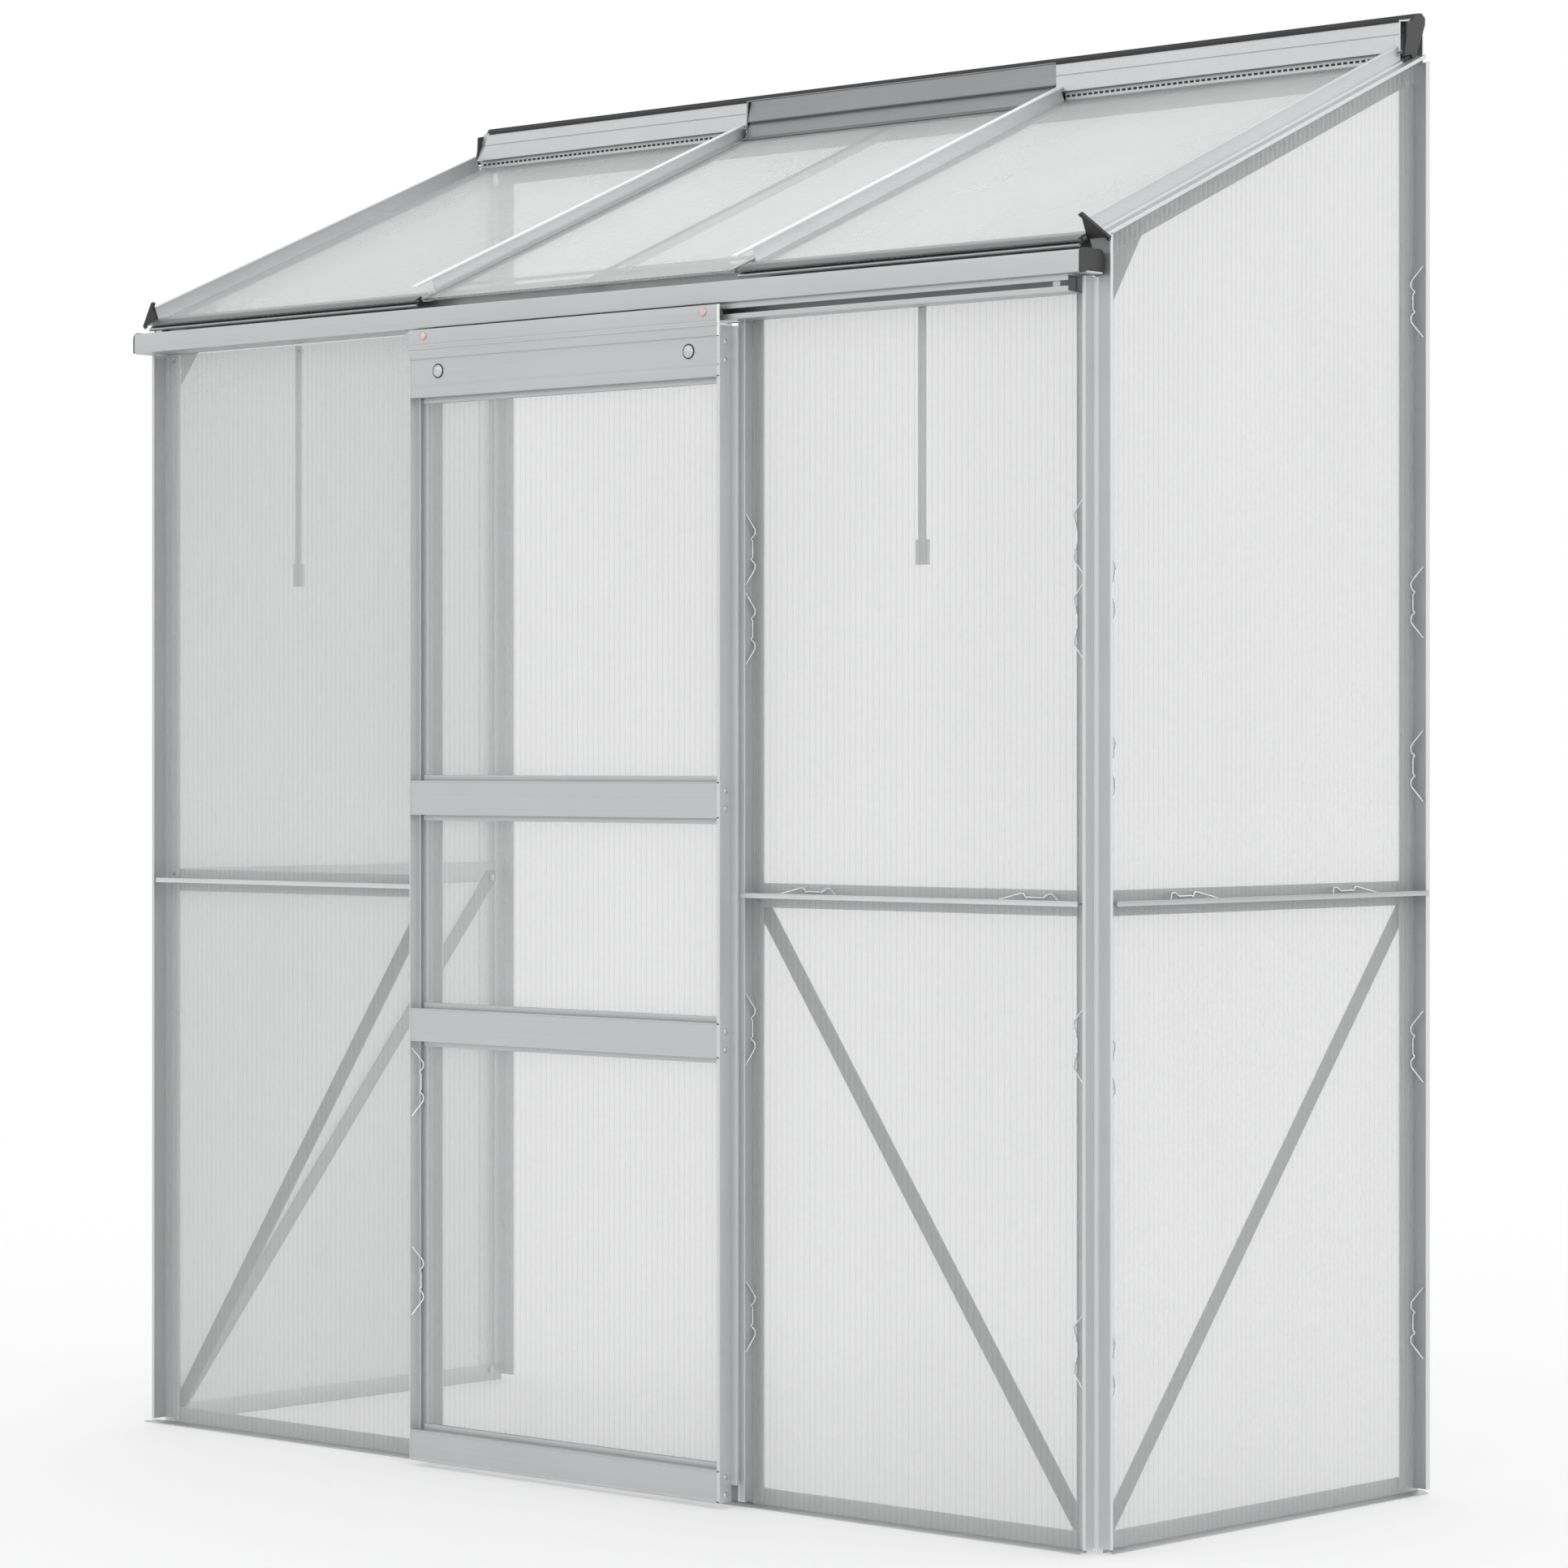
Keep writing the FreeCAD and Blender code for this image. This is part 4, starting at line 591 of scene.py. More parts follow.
def upright_bars():
    """Front corner posts, jamb bars and rear posts."""
    top = GUTTER_LOW - FLANGE
    corner = rounded(corner_section(), 0.35)
    at_corner = (HALF, 0, 0), X, -Y, Z
    flange = [(-FLANGE, -CORNER_FLANGE), (0, -CORNER_FLANGE), (0, 0), (-FLANGE, 0)]
    corners = [
        carried(corner, *at_corner, POST_FOOT, top),
        carried(rounded(side_blade(), 0.35), *at_corner, top, roof_cut(-1.0)),
        carried(flange, *at_corner, top, roof_cut(-CORNER_FLANGE)),
    ]
    at_jamb = (JAMB, 0, 0), X, -Y, Z
    track_low = low("door_track")[2]
    half = BAR_FLANGE / 2
    flange = [(-half, -FLANGE), (half, -FLANGE), (half, 0), (-half, 0)]
    jambs = [
        carried(rounded(tee(BAR_FLANGE, STAND, CAP), 0.3), *at_jamb, POST_FOOT, track_low),
        carried(flange, *at_jamb, track_low, top),
    ]
    web = REAR
    mid = web + METAL / 2
    cap = 4.5
    neck = STAND - METAL
    shoulder = neck - 0.8
    flange = [
        (-METAL, web - 31), (0, web - 31), (0, web - 28), (-0.4, web - 27), (-0.4, web - 3), (0, web - 2),
        (0, web + METAL), (-METAL, web + METAL),
    ]
    blade = [
        (0, web), (neck, web), (neck, mid - cap + 1), (shoulder, mid - cap + 1), (shoulder, mid - cap),
        (STAND, mid - cap), (STAND, mid + cap), (shoulder, mid + cap), (shoulder, mid + cap - 1),
        (neck, mid + cap - 1), (neck, web + METAL), (0, web + METAL),
    ]
    wall = [(-METAL, web), (0, web), (0, WALL), (-32, WALL), (-32, WALL - METAL), (-METAL, WALL - METAL)]
    rears = [carried(rounded(outline, 0.35), (HALF, 0, 0), X, Y, Z, POST_FOOT, end)
             for outline, end in ((flange, roof_cut(-CORNER_FLANGE)), (blade, roof_cut(-9.0)), (wall, RIDGE_LOW))]
    pairs(("corner_post", corners, "along_z"), ("jamb_bar", jambs, "along_z"), ("rear_post", rears, "along_z"))


def mid_rail_bars():
    """The horizontal T-bars half way up, along the front and along each gable."""
    section = rounded(tee(34.0, 28.0, 7.0, foot=-FLANGE), 0.3)
    z = middle("mid_rail_front_right")[2]
    front = carried(section, (0, 0, z), Z, -Y, X, JAMB - 4, HALF - 9)
    gable = carried(section, (HALF, 0, z), Z, X, Y, 9, REAR + 1)
    pairs(("mid_rail_front", [front], "mid_rail"), ("mid_rail_gable", [gable], "along_y"))


def base_bars():
    """The base rails: an upstand inside the sheets, a ledge under them and a sloping lip."""
    upstand = high("base_rail_front")[2]
    lip = 15.0
    section = rounded([
        (-4, 0), (-4, upstand), (-3.2, upstand), (-2.4, upstand - 2), (-2.4, 4), (7, 4), (lip, 1.6), (lip, 0.0),
        (lip - 1.5, 0.0), (6.6, 2.4), (-2.4, 2.4), (-2.4, 0),
    ], 0.5)
    lip_end = HALF - 19
    front = carried(section, *ALONG_BASE, -lip_end, lip_end)
    tab = [(-4, POST_FOOT), (-2.4, POST_FOOT), (-2.4, upstand), (-4, upstand)]
    parts = [front]
    parts += [carried(tab, *ALONG_BASE, *sorted((sign * lip_end, sign * (HALF - 4)))) for sign in (-1, 1)]
    toe = low("base_rail_front")[0]
    lip_point = np.array([toe, -lip, 0.0]), np.array([8.0, -15.0, 0.0]) / 17
    ledge_point = np.array([toe + 15, -7.0, 0.0]), np.array([6.5, -5.3, 0.0]) / 8.39
    lip_strip = [(7, 4), (lip, 1.6), (lip, 0), (lip - 1.5, 0), (7, 2.4)]
    ledge_strip = [(0.5, 4), (7, 4), (7, 2.4), (0.5, 2.4)]
    parts.append(carried(lip_strip, *ALONG_BASE, lip_point, -lip_end))
    parts.append(carried(ledge_strip, *ALONG_BASE, ledge_point, -lip_end))
    piece("base_rail_front_dressed", parts, "along_x", "base_rail_front")
    side_bar = carried(section, (HALF, 0, 0), X, Z, Y, 19, WALL - 2)
    stub = carried(tab, (HALF, 0, 0), X, Z, Y, 2, 19)
    pairs(("base_rail", [side_bar, stub], "along_y"))


def roof_edges():
    """The gable rafters and the two roof bars beside the vent."""
    under_ridge = (low("ridge_bar")[1] + 12) / SLOPE[1]
    corner = rounded(corner_section(), 0.35)
    base = on_roof(0, 0, HALF)
    top = np.array([0, RAFTER_TOP, 0]), Y
    rafter = [carried(corner, base, X, NORMAL, SLOPE, -14.0, under_ridge),
              carried(rounded(side_blade(), 0.35), base, X, NORMAL, SLOPE, under_ridge, top)]
    at_jamb = on_roof(0, 0, JAMB), X, NORMAL, SLOPE
    section = tee(BAR_FLANGE, STAND, CAP)
    bar = carried(rounded(section, 0.3), *at_jamb, 6.0, under_ridge)
    nose = carried(rounded([point for point in section if point[1] > 0.1], 0.3), *at_jamb, ROOF_LOW, 6.0)
    # The roof bars' paler finish is painted light.
    pairs(("gable_rafter", rafter, "roof"), ("roof_bar", [bar, nose], "roof_bar"))


# Twin-wall sheets
RIB = 0.6
SINK = 0.12
SINK_HALF = 0.9
SKIN = 0.45
SEALED = 1.0


def from_nearest_rib(across):
    """How far places across a sheet are from the middle of the nearest rib."""
    flute = chosen("flute")
    return np.abs(across / flute - np.round(across / flute)) * flute


def fluted(wide, along_low, along_high, base, across, out, along, open_ends):
    """A twin-wall sheet: two skins joined by ribs a flute apart, which sink the skins a little.
    Its point (a, b, c) is base + a across + b out + c along, where a runs from 0 to wide, b through
    its thickness and c along the flutes from along_low to along_high, which may depend on a. Its
    flutes are hollow, and a millimetre of each end that isn't open is solid."""
    flute = chosen("flute")
    ribs = np.arange(0, wide + flute / 2, flute)
    steps = np.array([-SINK_HALF, -RIB / 2, RIB / 2, SINK_HALF])
    lines = np.unique(np.clip((ribs[:, None] + steps).ravel(), 0, wide).round(4))
    lines = np.unique(np.append(lines, wide))
    b_lines = np.array([0, SKIN, SHEET - SKIN, SHEET])
    c_lines = np.array([0.0, 1.0, 2.0, 3.0])
    middles = (lines[1:] + lines[:-1]) / 2
    hollow = (from_nearest_rib(middles) > RIB / 2) & (middles < wide - 2)
    full = np.ones((len(middles), 3, 3), bool)
    full[hollow, 1, 1] = False
    full[hollow, 1, 0] = not open_ends[0]
    full[hollow, 1, 2] = not open_ends[1]

    def shaped(flat):
        a, b, c = flat.T
        sink = np.where(from_nearest_rib(a) < SINK_HALF - 0.01, SINK, 0.0)
        b = b + np.where(b < 0.01, sink, 0.0) - np.where(b > SHEET - 0.01, sink, 0.0)
        top = along_high(a) if callable(along_high) else along_high
        far = np.select([c < 0.5, c < 1.5, c < 2.5], [along_low, along_low + SEALED, top - SEALED], top)
        return np.asarray(base, float) + a[:, None] * across + b[:, None] * out + far[:, None] * along

    points, faces, uv, upright = cells(lines, b_lines, c_lines, full, shaped)
    uv = np.stack([uv[:, 0] / flute, uv[:, 1]], 1)
    if np.dot(np.cross(across, out), along) < 0:
        faces = [face[::-1] for face in faces]
        uv = uv.reshape(-1, 4, 2)[:, ::-1].reshape(-1, 2)
    return points, faces, uv, upright


def sheet_piece(name, made, node, body="root", finish="sheet"):
    """One sheet, or several on one node. The faces of the ribs have a finish of their own."""
    uv = np.vstack([part[2] for part in made])
    sheet = piece(name, [part[:2] for part in made], finish, node, body=body, uv=uv)
    sheet.data.materials.append(MADE["rib"])
    sheet.data.polygons.foreach_set("material_index", np.concatenate([part[3] for part in made]))


VENT_SEAT = 1.5
SHEET_GAP = 1.0
DOOR_SHEET_GAP = 0.5


def sheets():
    """All sheets of the front, the gables, the roof, the door and the vent."""
    x0, _, _ = low("panel_front_lower_right")
    x1, _, _ = high("panel_front_lower_right")
    y0, y1 = span("panel_gable_lower_right", 1)
    roof_x0, roof_x1 = span("roof_panel_right", 0)
    roof_top = high("roof_panel_right")[1] / SLOPE[1]

    def under_roof(a):
        """The height of the gable's top edge, a behind its front edge."""
        return EAVES + (y0 + a) * SLOPE[2] / SLOPE[1] - SHEET_GAP / SLOPE[1]

    hands = ("right", X), ("left", -X)
    for level in ("lower", "upper"):
        ends = level == "lower", False
        for side, way in hands:
            node = "panel_front_%s_%s" % (level, side)
            made = fluted(x1 - x0, low(node)[2], high(node)[2], x0 * way - SHEET * Y, way, Y, Z, ends)
            sheet_piece("front_sheet_%s_%s" % (level, side), [made], node)
        for side, way in hands:
            node = "panel_gable_%s_%s" % (level, side)
            top = high(node)[2] if level == "lower" else under_roof
            made = fluted(y1 - y0, low(node)[2], top, HALF * way + y0 * Y, Y, way, Z, ends)
            sheet_piece("gable_sheet_%s_%s" % (level, side), [made], node)
    for side, way in hands:
        base = on_roof(0, 0) + roof_x0 * way
        made = fluted(roof_x1 - roof_x0, ROOF_LOW, roof_top, base, way, NORMAL, SLOPE, (False, True))
        sheet_piece("roof_sheet_" + side, [made], "roof_panel_" + side, finish="roof_sheet")

    x0, x1 = span("vent_panel", 0)
    vent_top = (high("vent_panel")[1] + VENT_SEAT * SLOPE[2]) / SLOPE[1]
    made = fluted(x1 - x0, ROOF_LOW, vent_top, on_roof(0, VENT_SEAT, x0), X, NORMAL, SLOPE, (True, False))
    sheet_piece("vent_sheet", [made], "vent_panel", "vent", "roof_sheet")
    x0, x1 = span("door_panels", 0)
    base = x0, high("door_panels")[1] - SHEET, 0
    made = [fluted(x1 - x0, z0, z1 - DOOR_SHEET_GAP, base, X, Y, Z, (False, False)) for z0, z1 in door_gaps()]
    sheet_piece("door_sheets", made, "door_panels", "door")


def door_limits():
    """The door's four cross rails, from the bottom: (low, high)."""
    return [(low("door_bottom_rail")[2], 53.0), (620.0, 668.0), (950.0, 1000.0), (1558.0, DOOR_HIGH)]


def door_gaps():
    """The glazed stretches between the door's rails."""
    limits = door_limits()
    return [(lower[1], upper[0]) for lower, upper in zip(limits, limits[1:])]


# The thickness of the lands that hold the sheets
LAND = 1.5


def door_bars():
    """The door's stiles and cross rails."""
    deep = high("door_stile_right")[1] - DOOR_FACE
    pocket = 17.0
    back = pocket + SHEET + 0.6
    web = [(0, 0), (0, deep), (-METAL, deep), (-METAL, METAL), (-6, METAL), (-6, 0)]
    cover = [(-METAL, deep - METAL), (11, deep - METAL), (11, deep), (-METAL, deep)]
    at_edge = (DOOR_RIGHT, DOOR_FACE, 0), X, Y, Z
    right = [carried(rounded(web, 0.4), *at_edge, DOOR_LOW, DOOR_HIGH),
             carried(rounded(cover, 0.3), *at_edge, DOOR_LOW + 23, DOOR_HIGH)]
    for z0, z1 in door_gaps():
        for land, depth in ((7.5, pocket - LAND), (15.0, back)):
            strip = [(-land, depth), (-METAL, depth), (-METAL, depth + LAND), (-land, depth + LAND)]
            right.append(carried(rounded(strip, 0.4), *at_edge, z0, z1))
    plain_web = [(0, 0), (0, deep), (-METAL, deep), (-METAL, 0)]
    plain = carried(rounded(plain_web, 0.4), *at_edge, DOOR_LOW, DOOR_HIGH)
    both_edges = DOOR_LEFT + DOOR_RIGHT
    left = [(points + both_edges * X, faces) for points, faces in map(reflected, [plain] + right[1:])]
    piece("door_stile_dressed_right", right, "along_z", "door_stile_right", body="door")
    piece("door_stile_dressed_left", left, "along_z", "door_stile_left", body="door")

    def rail(z0, z1, bands, land_low, land_high):
        """One C-shaped rail, whose face has rims and bands, with lands for the sheets."""
        face = [(0, z0), (0, z0 + 1.6), (0.7, z0 + 2.6)]
        for at, step_in in bands:
            face += [(0.7 if step_in else 0.0, at), (0.0 if step_in else 0.7, at + 1.2)]
        face += [(0.7, z1 - 2.6), (0, z1 - 1.6), (0, z1)]
        inside = METAL + 0.7
        inner = [
            (deep, z1), (deep, z1 - METAL), (inside, z1 - METAL), (inside, z0 + METAL), (deep, z0 + METAL), (deep, z0),
        ]
        parts = [carried(face + inner, DOOR_FACE * Y, Y, Z, X, DOOR_LEFT + METAL, DOOR_RIGHT - METAL)]
        for wanted, start, end in ((land_low, z0 - 8, z0), (land_high, z1, z1 + 8)):
            for depth in (pocket - LAND, back) if wanted else ():
                strip = rounded([(depth, start), (depth + LAND, start), (depth + LAND, end), (depth, end)], 0.4)
                parts.append(carried(strip, DOOR_FACE * Y, Y, Z, X, DOOR_LEFT + 15, DOOR_RIGHT - 15))
        return parts

    limits = door_limits()
    piece("door_bottom_rail_dressed", rail(*limits[0], [], False, True), "along_x", "door_bottom_rail", body="door")
    middles = rail(*limits[1], [], True, True) + rail(*limits[2], [], True, True)
    piece("door_mid_rails_dressed", middles, "along_x", "door_mid_rails", body="door")
    z0, z1 = limits[3]
    head = rail(z0, z1, [(z0 + 15, True), (z0 + 17, False), (z1 - 16, True), (z1 - 14, False)], True, False)
    piece("door_head_rail_dressed", head, "along_x", "door_head_rail", body="door")


def gutter_channel():
    """The gutter: an open channel with a rolled lip, and the wall that carries it."""
    front = low("gutter")[1] + METAL / 2
    back = -4.0 - METAL / 2
    floor = GUTTER_LOW + METAL / 2
    top = GUTTER_LOW + 30 - METAL / 2
    line = [(front + 5, top - 3.5), (front + 5, top), (front, top), (front, floor), (back, floor), (back, top)]
    outline = rounded(ribbon(line, METAL), [0.5, 1, 1.6, 3.2, 1, 0.5] * 2, 4)
    end = high("gutter")[0]
    parts = [carried(outline, *ALONG_FRONT, -end, end)]
    inside = HALF - 4
    wall = 3.0
    wall_top = EAVES + 2 * SLOPE[2] / SLOPE[1] - 3.7
    floor_strip = ribbon([(back, floor), (wall, floor)], METAL)
    upstand = ribbon([(wall, GUTTER_LOW), (wall, wall_top)], FLANGE)
    seat_low, seat_high = on_roof(-6, -3), on_roof(24, -3)
    seat = ribbon([seat_low[1:], seat_high[1:]], FLANGE)
    for outline in (floor_strip, upstand, seat):
        parts.append(carried(outline, *ALONG_FRONT, -inside, inside))
    over_door = ribbon([(wall, low("gutter")[2]), (wall, GUTTER_LOW)], FLANGE)
    parts.append(carried(over_door, *ALONG_FRONT, -JAMB, JAMB))
    piece("gutter_dressed", parts, "along_x", "gutter")


def track_channel():
    """The door's track: a channel whose front lips leave a slot for the hangers."""
    front, back = low("door_track")[1] + METAL / 2, high("door_track")[1] - METAL / 2
    floor, top = low("door_track")[2] + METAL / 2, high("door_track")[2] - METAL / 2
    lips = low("door_track")[2] + 7.6, high("door_track")[2] - 8.2
    line = [(front, lips[1]), (front, top), (back, top), (back, floor), (front, floor), (front, lips[0])]
    outline = rounded(ribbon(line, METAL), [0.4, 0.8, 0.8, 0.8, 0.8, 0.4] * 2, 3)
    x0, x1 = span("door_track", 0)
    piece("door_track_dressed", [carried(outline, *ALONG_FRONT, x0, x1)], "along_x", "door_track")


def hanger_bar():
    """The plate on the door's head that the roller axles pass through, with its stiffening ledge."""
    face = DOOR_FACE - 2
    z0, z1 = span("door_hanger_plate", 2)
    step = DOOR_HIGH
    outline = rounded([
        (DOOR_FACE, z0), (face, z0), (face, step - 1), (face - 1.5, step), (face - 1.5, step + 3), (face, step + 4),
        (face, step + 6.5), (face + 0.5, step + 7), (face, step + 7.5), (face, z1), (DOOR_FACE, z1),
        (DOOR_FACE, step + 2), (DOOR_FACE + 9, step + 2), (DOOR_FACE + 9, step), (DOOR_FACE, step),
    ], 0.3)
    x0, x1 = span("door_hanger_plate", 0)
    piece("door_hanger_dressed", [carried(outline, *ALONG_FRONT, x0, x1)], "along_x", "door_hanger_plate", body="door")


def retainer_bars():
    """The strips that clamp the lower edge of the side bays' roof sheets: a top, a nose, a cove, a lip."""
    x0, x1 = span("roof_panel_right", 0)
    nose = ROOF_LOW
    top = [
        (nose + 28, SHEET), (nose + 28, SHEET + 0.8), (nose + 24, SHEET + 3), (nose + 11, SHEET + 3),
        (nose + 11, SHEET),
    ]
    front = [
        (nose + 11, SHEET), (nose + 11, SHEET + 3), (nose + 4, SHEET + 2.8), (nose - 2, SHEET + 1.9), (nose - 6.2, 5.0),
        (nose - 6.2, 4.2), (nose - 4, 4.4), (nose + 5, 5.0), (nose + 5, SHEET),
    ]
    cove = [
        (nose + 5, 5.0), (nose + 3, 5.0), (nose + 3.5, 3), (nose + 2.5, 1.6), (nose - 2, -0.2), (nose - 4.5, -0.6),
        (nose - 4.5, -5), (nose, -5), (nose, -LAND), (nose + 14, -LAND), (nose + 14, 0), (nose + 5, 0),
    ]
    lip = [(nose - 4.5, -0.6), (nose - 6, -0.9), (nose - 7, -1.8), (nose - 7, -4.5), (nose - 6.3, -5), (nose - 4.5, -5)]
    # The tops, noses and coves have darker finishes, painted shade on one extruded strip.
    for name, outline, finish, nodes in (("tops", top, "top_painted_shade", ["panel_retainers"]), ("noses", front, "nose", ()),
                                         ("coves", cove, "shaded", ()), ("lips", lip, "along_x", ())):
        right = carried(rounded(outline, 0.3), on_roof(0, 0), SLOPE, NORMAL, X, x0, x1)
        piece("roof_retainer_" + name, both(right), finish, *nodes)


def hinge_rail():
    """The vent's top rail: a hook round the ridge's bead, and in front of it two bands that lean
    back at the top, one under the other, down to the pocket of the sheet."""
    hinge = next(joint for joint in frame["joints"] if joint["name"] == "vent_hinge")
    bead = np.array(hinge["pos_m"][1:]) / MM - (FRONT, 0)
    turn = np.radians(np.linspace(74, 286, 17))
    hook = bead + 5.6 * np.stack([np.cos(turn), np.sin(turn)], 1)
    sheet_end = high("vent_panel")[1] / SLOPE[1]
    corners = ((sheet_end - 12, 0.9), (sheet_end + 2, 0.9), (sheet_end + 2, 7.1), (sheet_end - 12, 7.1))
    pocket = [on_roof(s, n)[1:] for s, n in corners]
    upper = [bead + (-7.6, 9.0), bead + (-5.9, 7.6), bead + (-13.6, -25.0)]
    lower = [upper[-1], bead + (-8.0, -26.5), bead + (-19.2, -48.5), pocket[2]]
    half = high("vent_panel")[0] + 0.75
    out = high("vent_hinge_rail")[0]
    parts = []
    for line, end, thick in ((hook, out, METAL), (upper, half, METAL), (lower, half, METAL), (pocket, half, 1.2)):
        parts.append(carried(ribbon(line, thick), *ALONG_FRONT, -end, end))
    # The rail's darker finish is painted shade on its leaning bands.
    piece("vent_hinge_rail_dressed", parts, "hinge", "vent_hinge_rail", body="vent")


def ridge_bands():
    """The ridge's face beside the vent: a plumb band with a groove along its middle, which stands
    out past the vent's rail, and a dark rubber block in its inner end, painted shade for the band's
    dark hollow end. The left band's outer end is cut aslant, beside the leaning end cap."""
    x0, x1 = high("vent_hinge_rail")[0] - 5.2, high("ridge_bar")[0]
    front, low_z, top_z = 666.0, 2020.0, 2064.0
    groove = 2043.3
    outline = [
        (front, low_z), (front, groove - 1.1), (front + 2.0, groove - 1.1), (front + 2.0, groove + 1.1),
        (front, groove + 1.1), (front, top_z), (front + 27, top_z + 2.4), (front + 27, top_z + 0.8),
        (front + 3.4, top_z - METAL), (front + 3.4, low_z + METAL), (front + 10, low_z + METAL + 1.5),
        (front + 10, low_z + 1.5),
    ]
    band = carried(outline, *ALONG_FRONT, x0, x1)
    slant = np.array([x1 - 15.5, front, low_z]), np.array([44.0, 0.0, 21.5]) / 48.97
    left = carried(outline, *ALONG_FRONT, x0, slant)
    # Painted shade: a dark rubber block stands for the shade inside the band's hollow end.
    end_shade_block = boxes((x0 + 0.8, front + 3.4, low_z + 8), (2, 4.6, top_z - low_z - 11))
    lips = [boxes((x0, front - 1.2, top_z - 3.4), (x1 - x0 - cut, 1.2, 3.4)) for cut in (0, 38)]
    piece("ridge_side_bands", [band, reflected(left)], "roof")
    piece("ridge_seal_lips", [lips[0], reflected(lips[1])], "rubber")
    piece("ridge_end_foam", both(end_shade_block), "rubber")


def boxes(corner, size, shifts=((0, 0, 0),)):
    """Equal boxes along the axes, one at each shift of the first corner."""
    unit = np.array([(0, 0, 0), (1, 0, 0), (1, 1, 0), (0, 1, 0), (0, 0, 1), (1, 0, 1), (1, 1, 1), (0, 1, 1)], float)
    sides = np.array([(3, 2, 1, 0), (4, 5, 6, 7), (0, 1, 5, 4), (1, 2, 6, 5), (2, 3, 7, 6), (3, 0, 4, 7)])
    points = np.asarray(corner) + unit * size + np.asarray(shifts)[:, None]
    faces = sides + 8 * np.arange(len(shifts))[:, None, None]
    return points.reshape(-1, 3), faces.reshape(-1, 4).tolist()


def ridge_comb():
    """The strip that closes the roof sheets' upper ends, with a dark rubber patch at each flute, painted shade for the
    flute's shadowed open end.
    """
    x0, x1 = span("roof_panel_right", 0)
    y = 677.0
    foot = on_roof(y / SLOPE[1], SHEET)[2] - 1
    top = foot + 15
    flutes = np.arange(x0 + 2, x1 - 8, chosen("flute"))
    shifts = np.stack([flutes, 0 * flutes, 0 * flutes], 1)
    strip = boxes((x0, y, foot), (x1 - x0, 1.5, top - foot))
    # Painted shade: dark rubber patches stand for the shade inside each flute's open end.
    slots = boxes((0, y - 0.4, foot + 5.3), (6.4, 0.8, 3.3), shifts)
    piece("ridge_closures", both(strip), "roof")
    piece("ridge_closure_slots", both(slots), "rubber")


def gutter_ends():
    """The moulded end plates of the gutter, rounded at the top, and the bright foot of each."""
    x0 = high("gutter")[0]
    front, back = span("gutter_end_caps", 1)
    top = high("gutter_end_caps")[2]
    plate = rounded([(front, GUTTER_LOW), (back, GUTTER_LOW), (back, top), (front, top)], [0.5, 0.5, 10, 10], 8)
    cap = carried(plate, *ALONG_FRONT, x0, x0 + 3)
    foot = boxes((x0 - 1, front + 8, GUTTER_LOW - 0.5), (8, back - front - 16, 2.2))
    piece("gutter_end_plates", both(cap), "grey_plastic", "gutter_end_caps")
    piece("gutter_end_feet", both(foot), "along_x")


# Clips, screws and rollers

def clip_points(reach):
    """Half a clip, from its middle out: (across the sheet, out of it, along the bar)."""
    out = chosen("wire") + 0.2
    return [(reach - 4.5, out, 0), (reach - 4.5, out, 8), (reach - 4, out + 0.5, 11), (reach - 5, out + 2.6, 14),
            (reach - 2.5, out + 0.8, 17.5), (reach, out, 21), (reach + 0.2, out, 26), (reach - 1, out + 1.4, 30.5),
            (3.2, 16.8, 50)]


def clip(base, across, out, along, reach=11.0):
    """One spring clip on a sheet, at a point of the bar that it pushes against."""
    half = clip_points(reach)
    whole = [(a, b, -c) for a, b, c in half[:0:-1]] + half
    line = [np.asarray(base, float) + a * across + b * out + c * along for a, b, c in whole]
    return bent_wire(line, chosen("wire"))


def clips():
    """The clips of the right bay, of both gables, on the mid-rails and on the door, at the heights
    where they are seen."""
    front = -SHEET
    wide = 32.0
    parts = []
    for z in (264.0, 660.0, 1211.0, 1321.0):
        parts.append(clip((JAMB, front, z), X, -Y, Z, 7.0))
        parts.append(clip((HALF, front, z), -X, -Y, Z, wide))
    z = middle("mid_rail_front_right")[2]
    for x in (440.0, 830.0):
        parts.append(clip((x, front, z), Z, -Y, X))
    gable = []
    for z_at in (242.0, 629.0, 1022.0, 1251.0, 1672.0):
        if z_at < EAVES - 50:
            gable.append(clip((HALF + SHEET, 0, z_at), Y, X, Z, wide))
        gable.append(clip((HALF + SHEET, REAR, z_at), -Y, X, Z))
    for y in (180.0, 540.0):
        gable.append(clip((HALF + SHEET, y, z), Z, X, Y))
    parts += gable + [reflected(part) for part in gable]
    piece("wire_clips", parts, "wire", "glazing_clips", crease=60)
    face = DOOR_FACE + 17.3
    door = []
    for z_at in (270.0, 560.0):
        door.append(clip((DOOR_LEFT + 1.5, face, z_at), X, -Y, Z))
        door.append(clip((DOOR_RIGHT - 1.5, face, z_at - 30), -X, -Y, Z))
    piece("door_wire_clips", door, "wire", body="door", crease=60)


def domed(radius, rise, shank_r, shank_long):
    """The profile of a domed head whose seat is at 0, with its crown at -rise and a shank."""
    turn = np.linspace(0, np.pi / 2, 7)
    head = np.stack([radius * np.sin(turn), -rise * np.cos(turn)], 1)
    return np.vstack([head, [(radius - 0.4, 0.3), (shank_r, 0.3), (shank_r, shank_long), (0, shank_long)]])


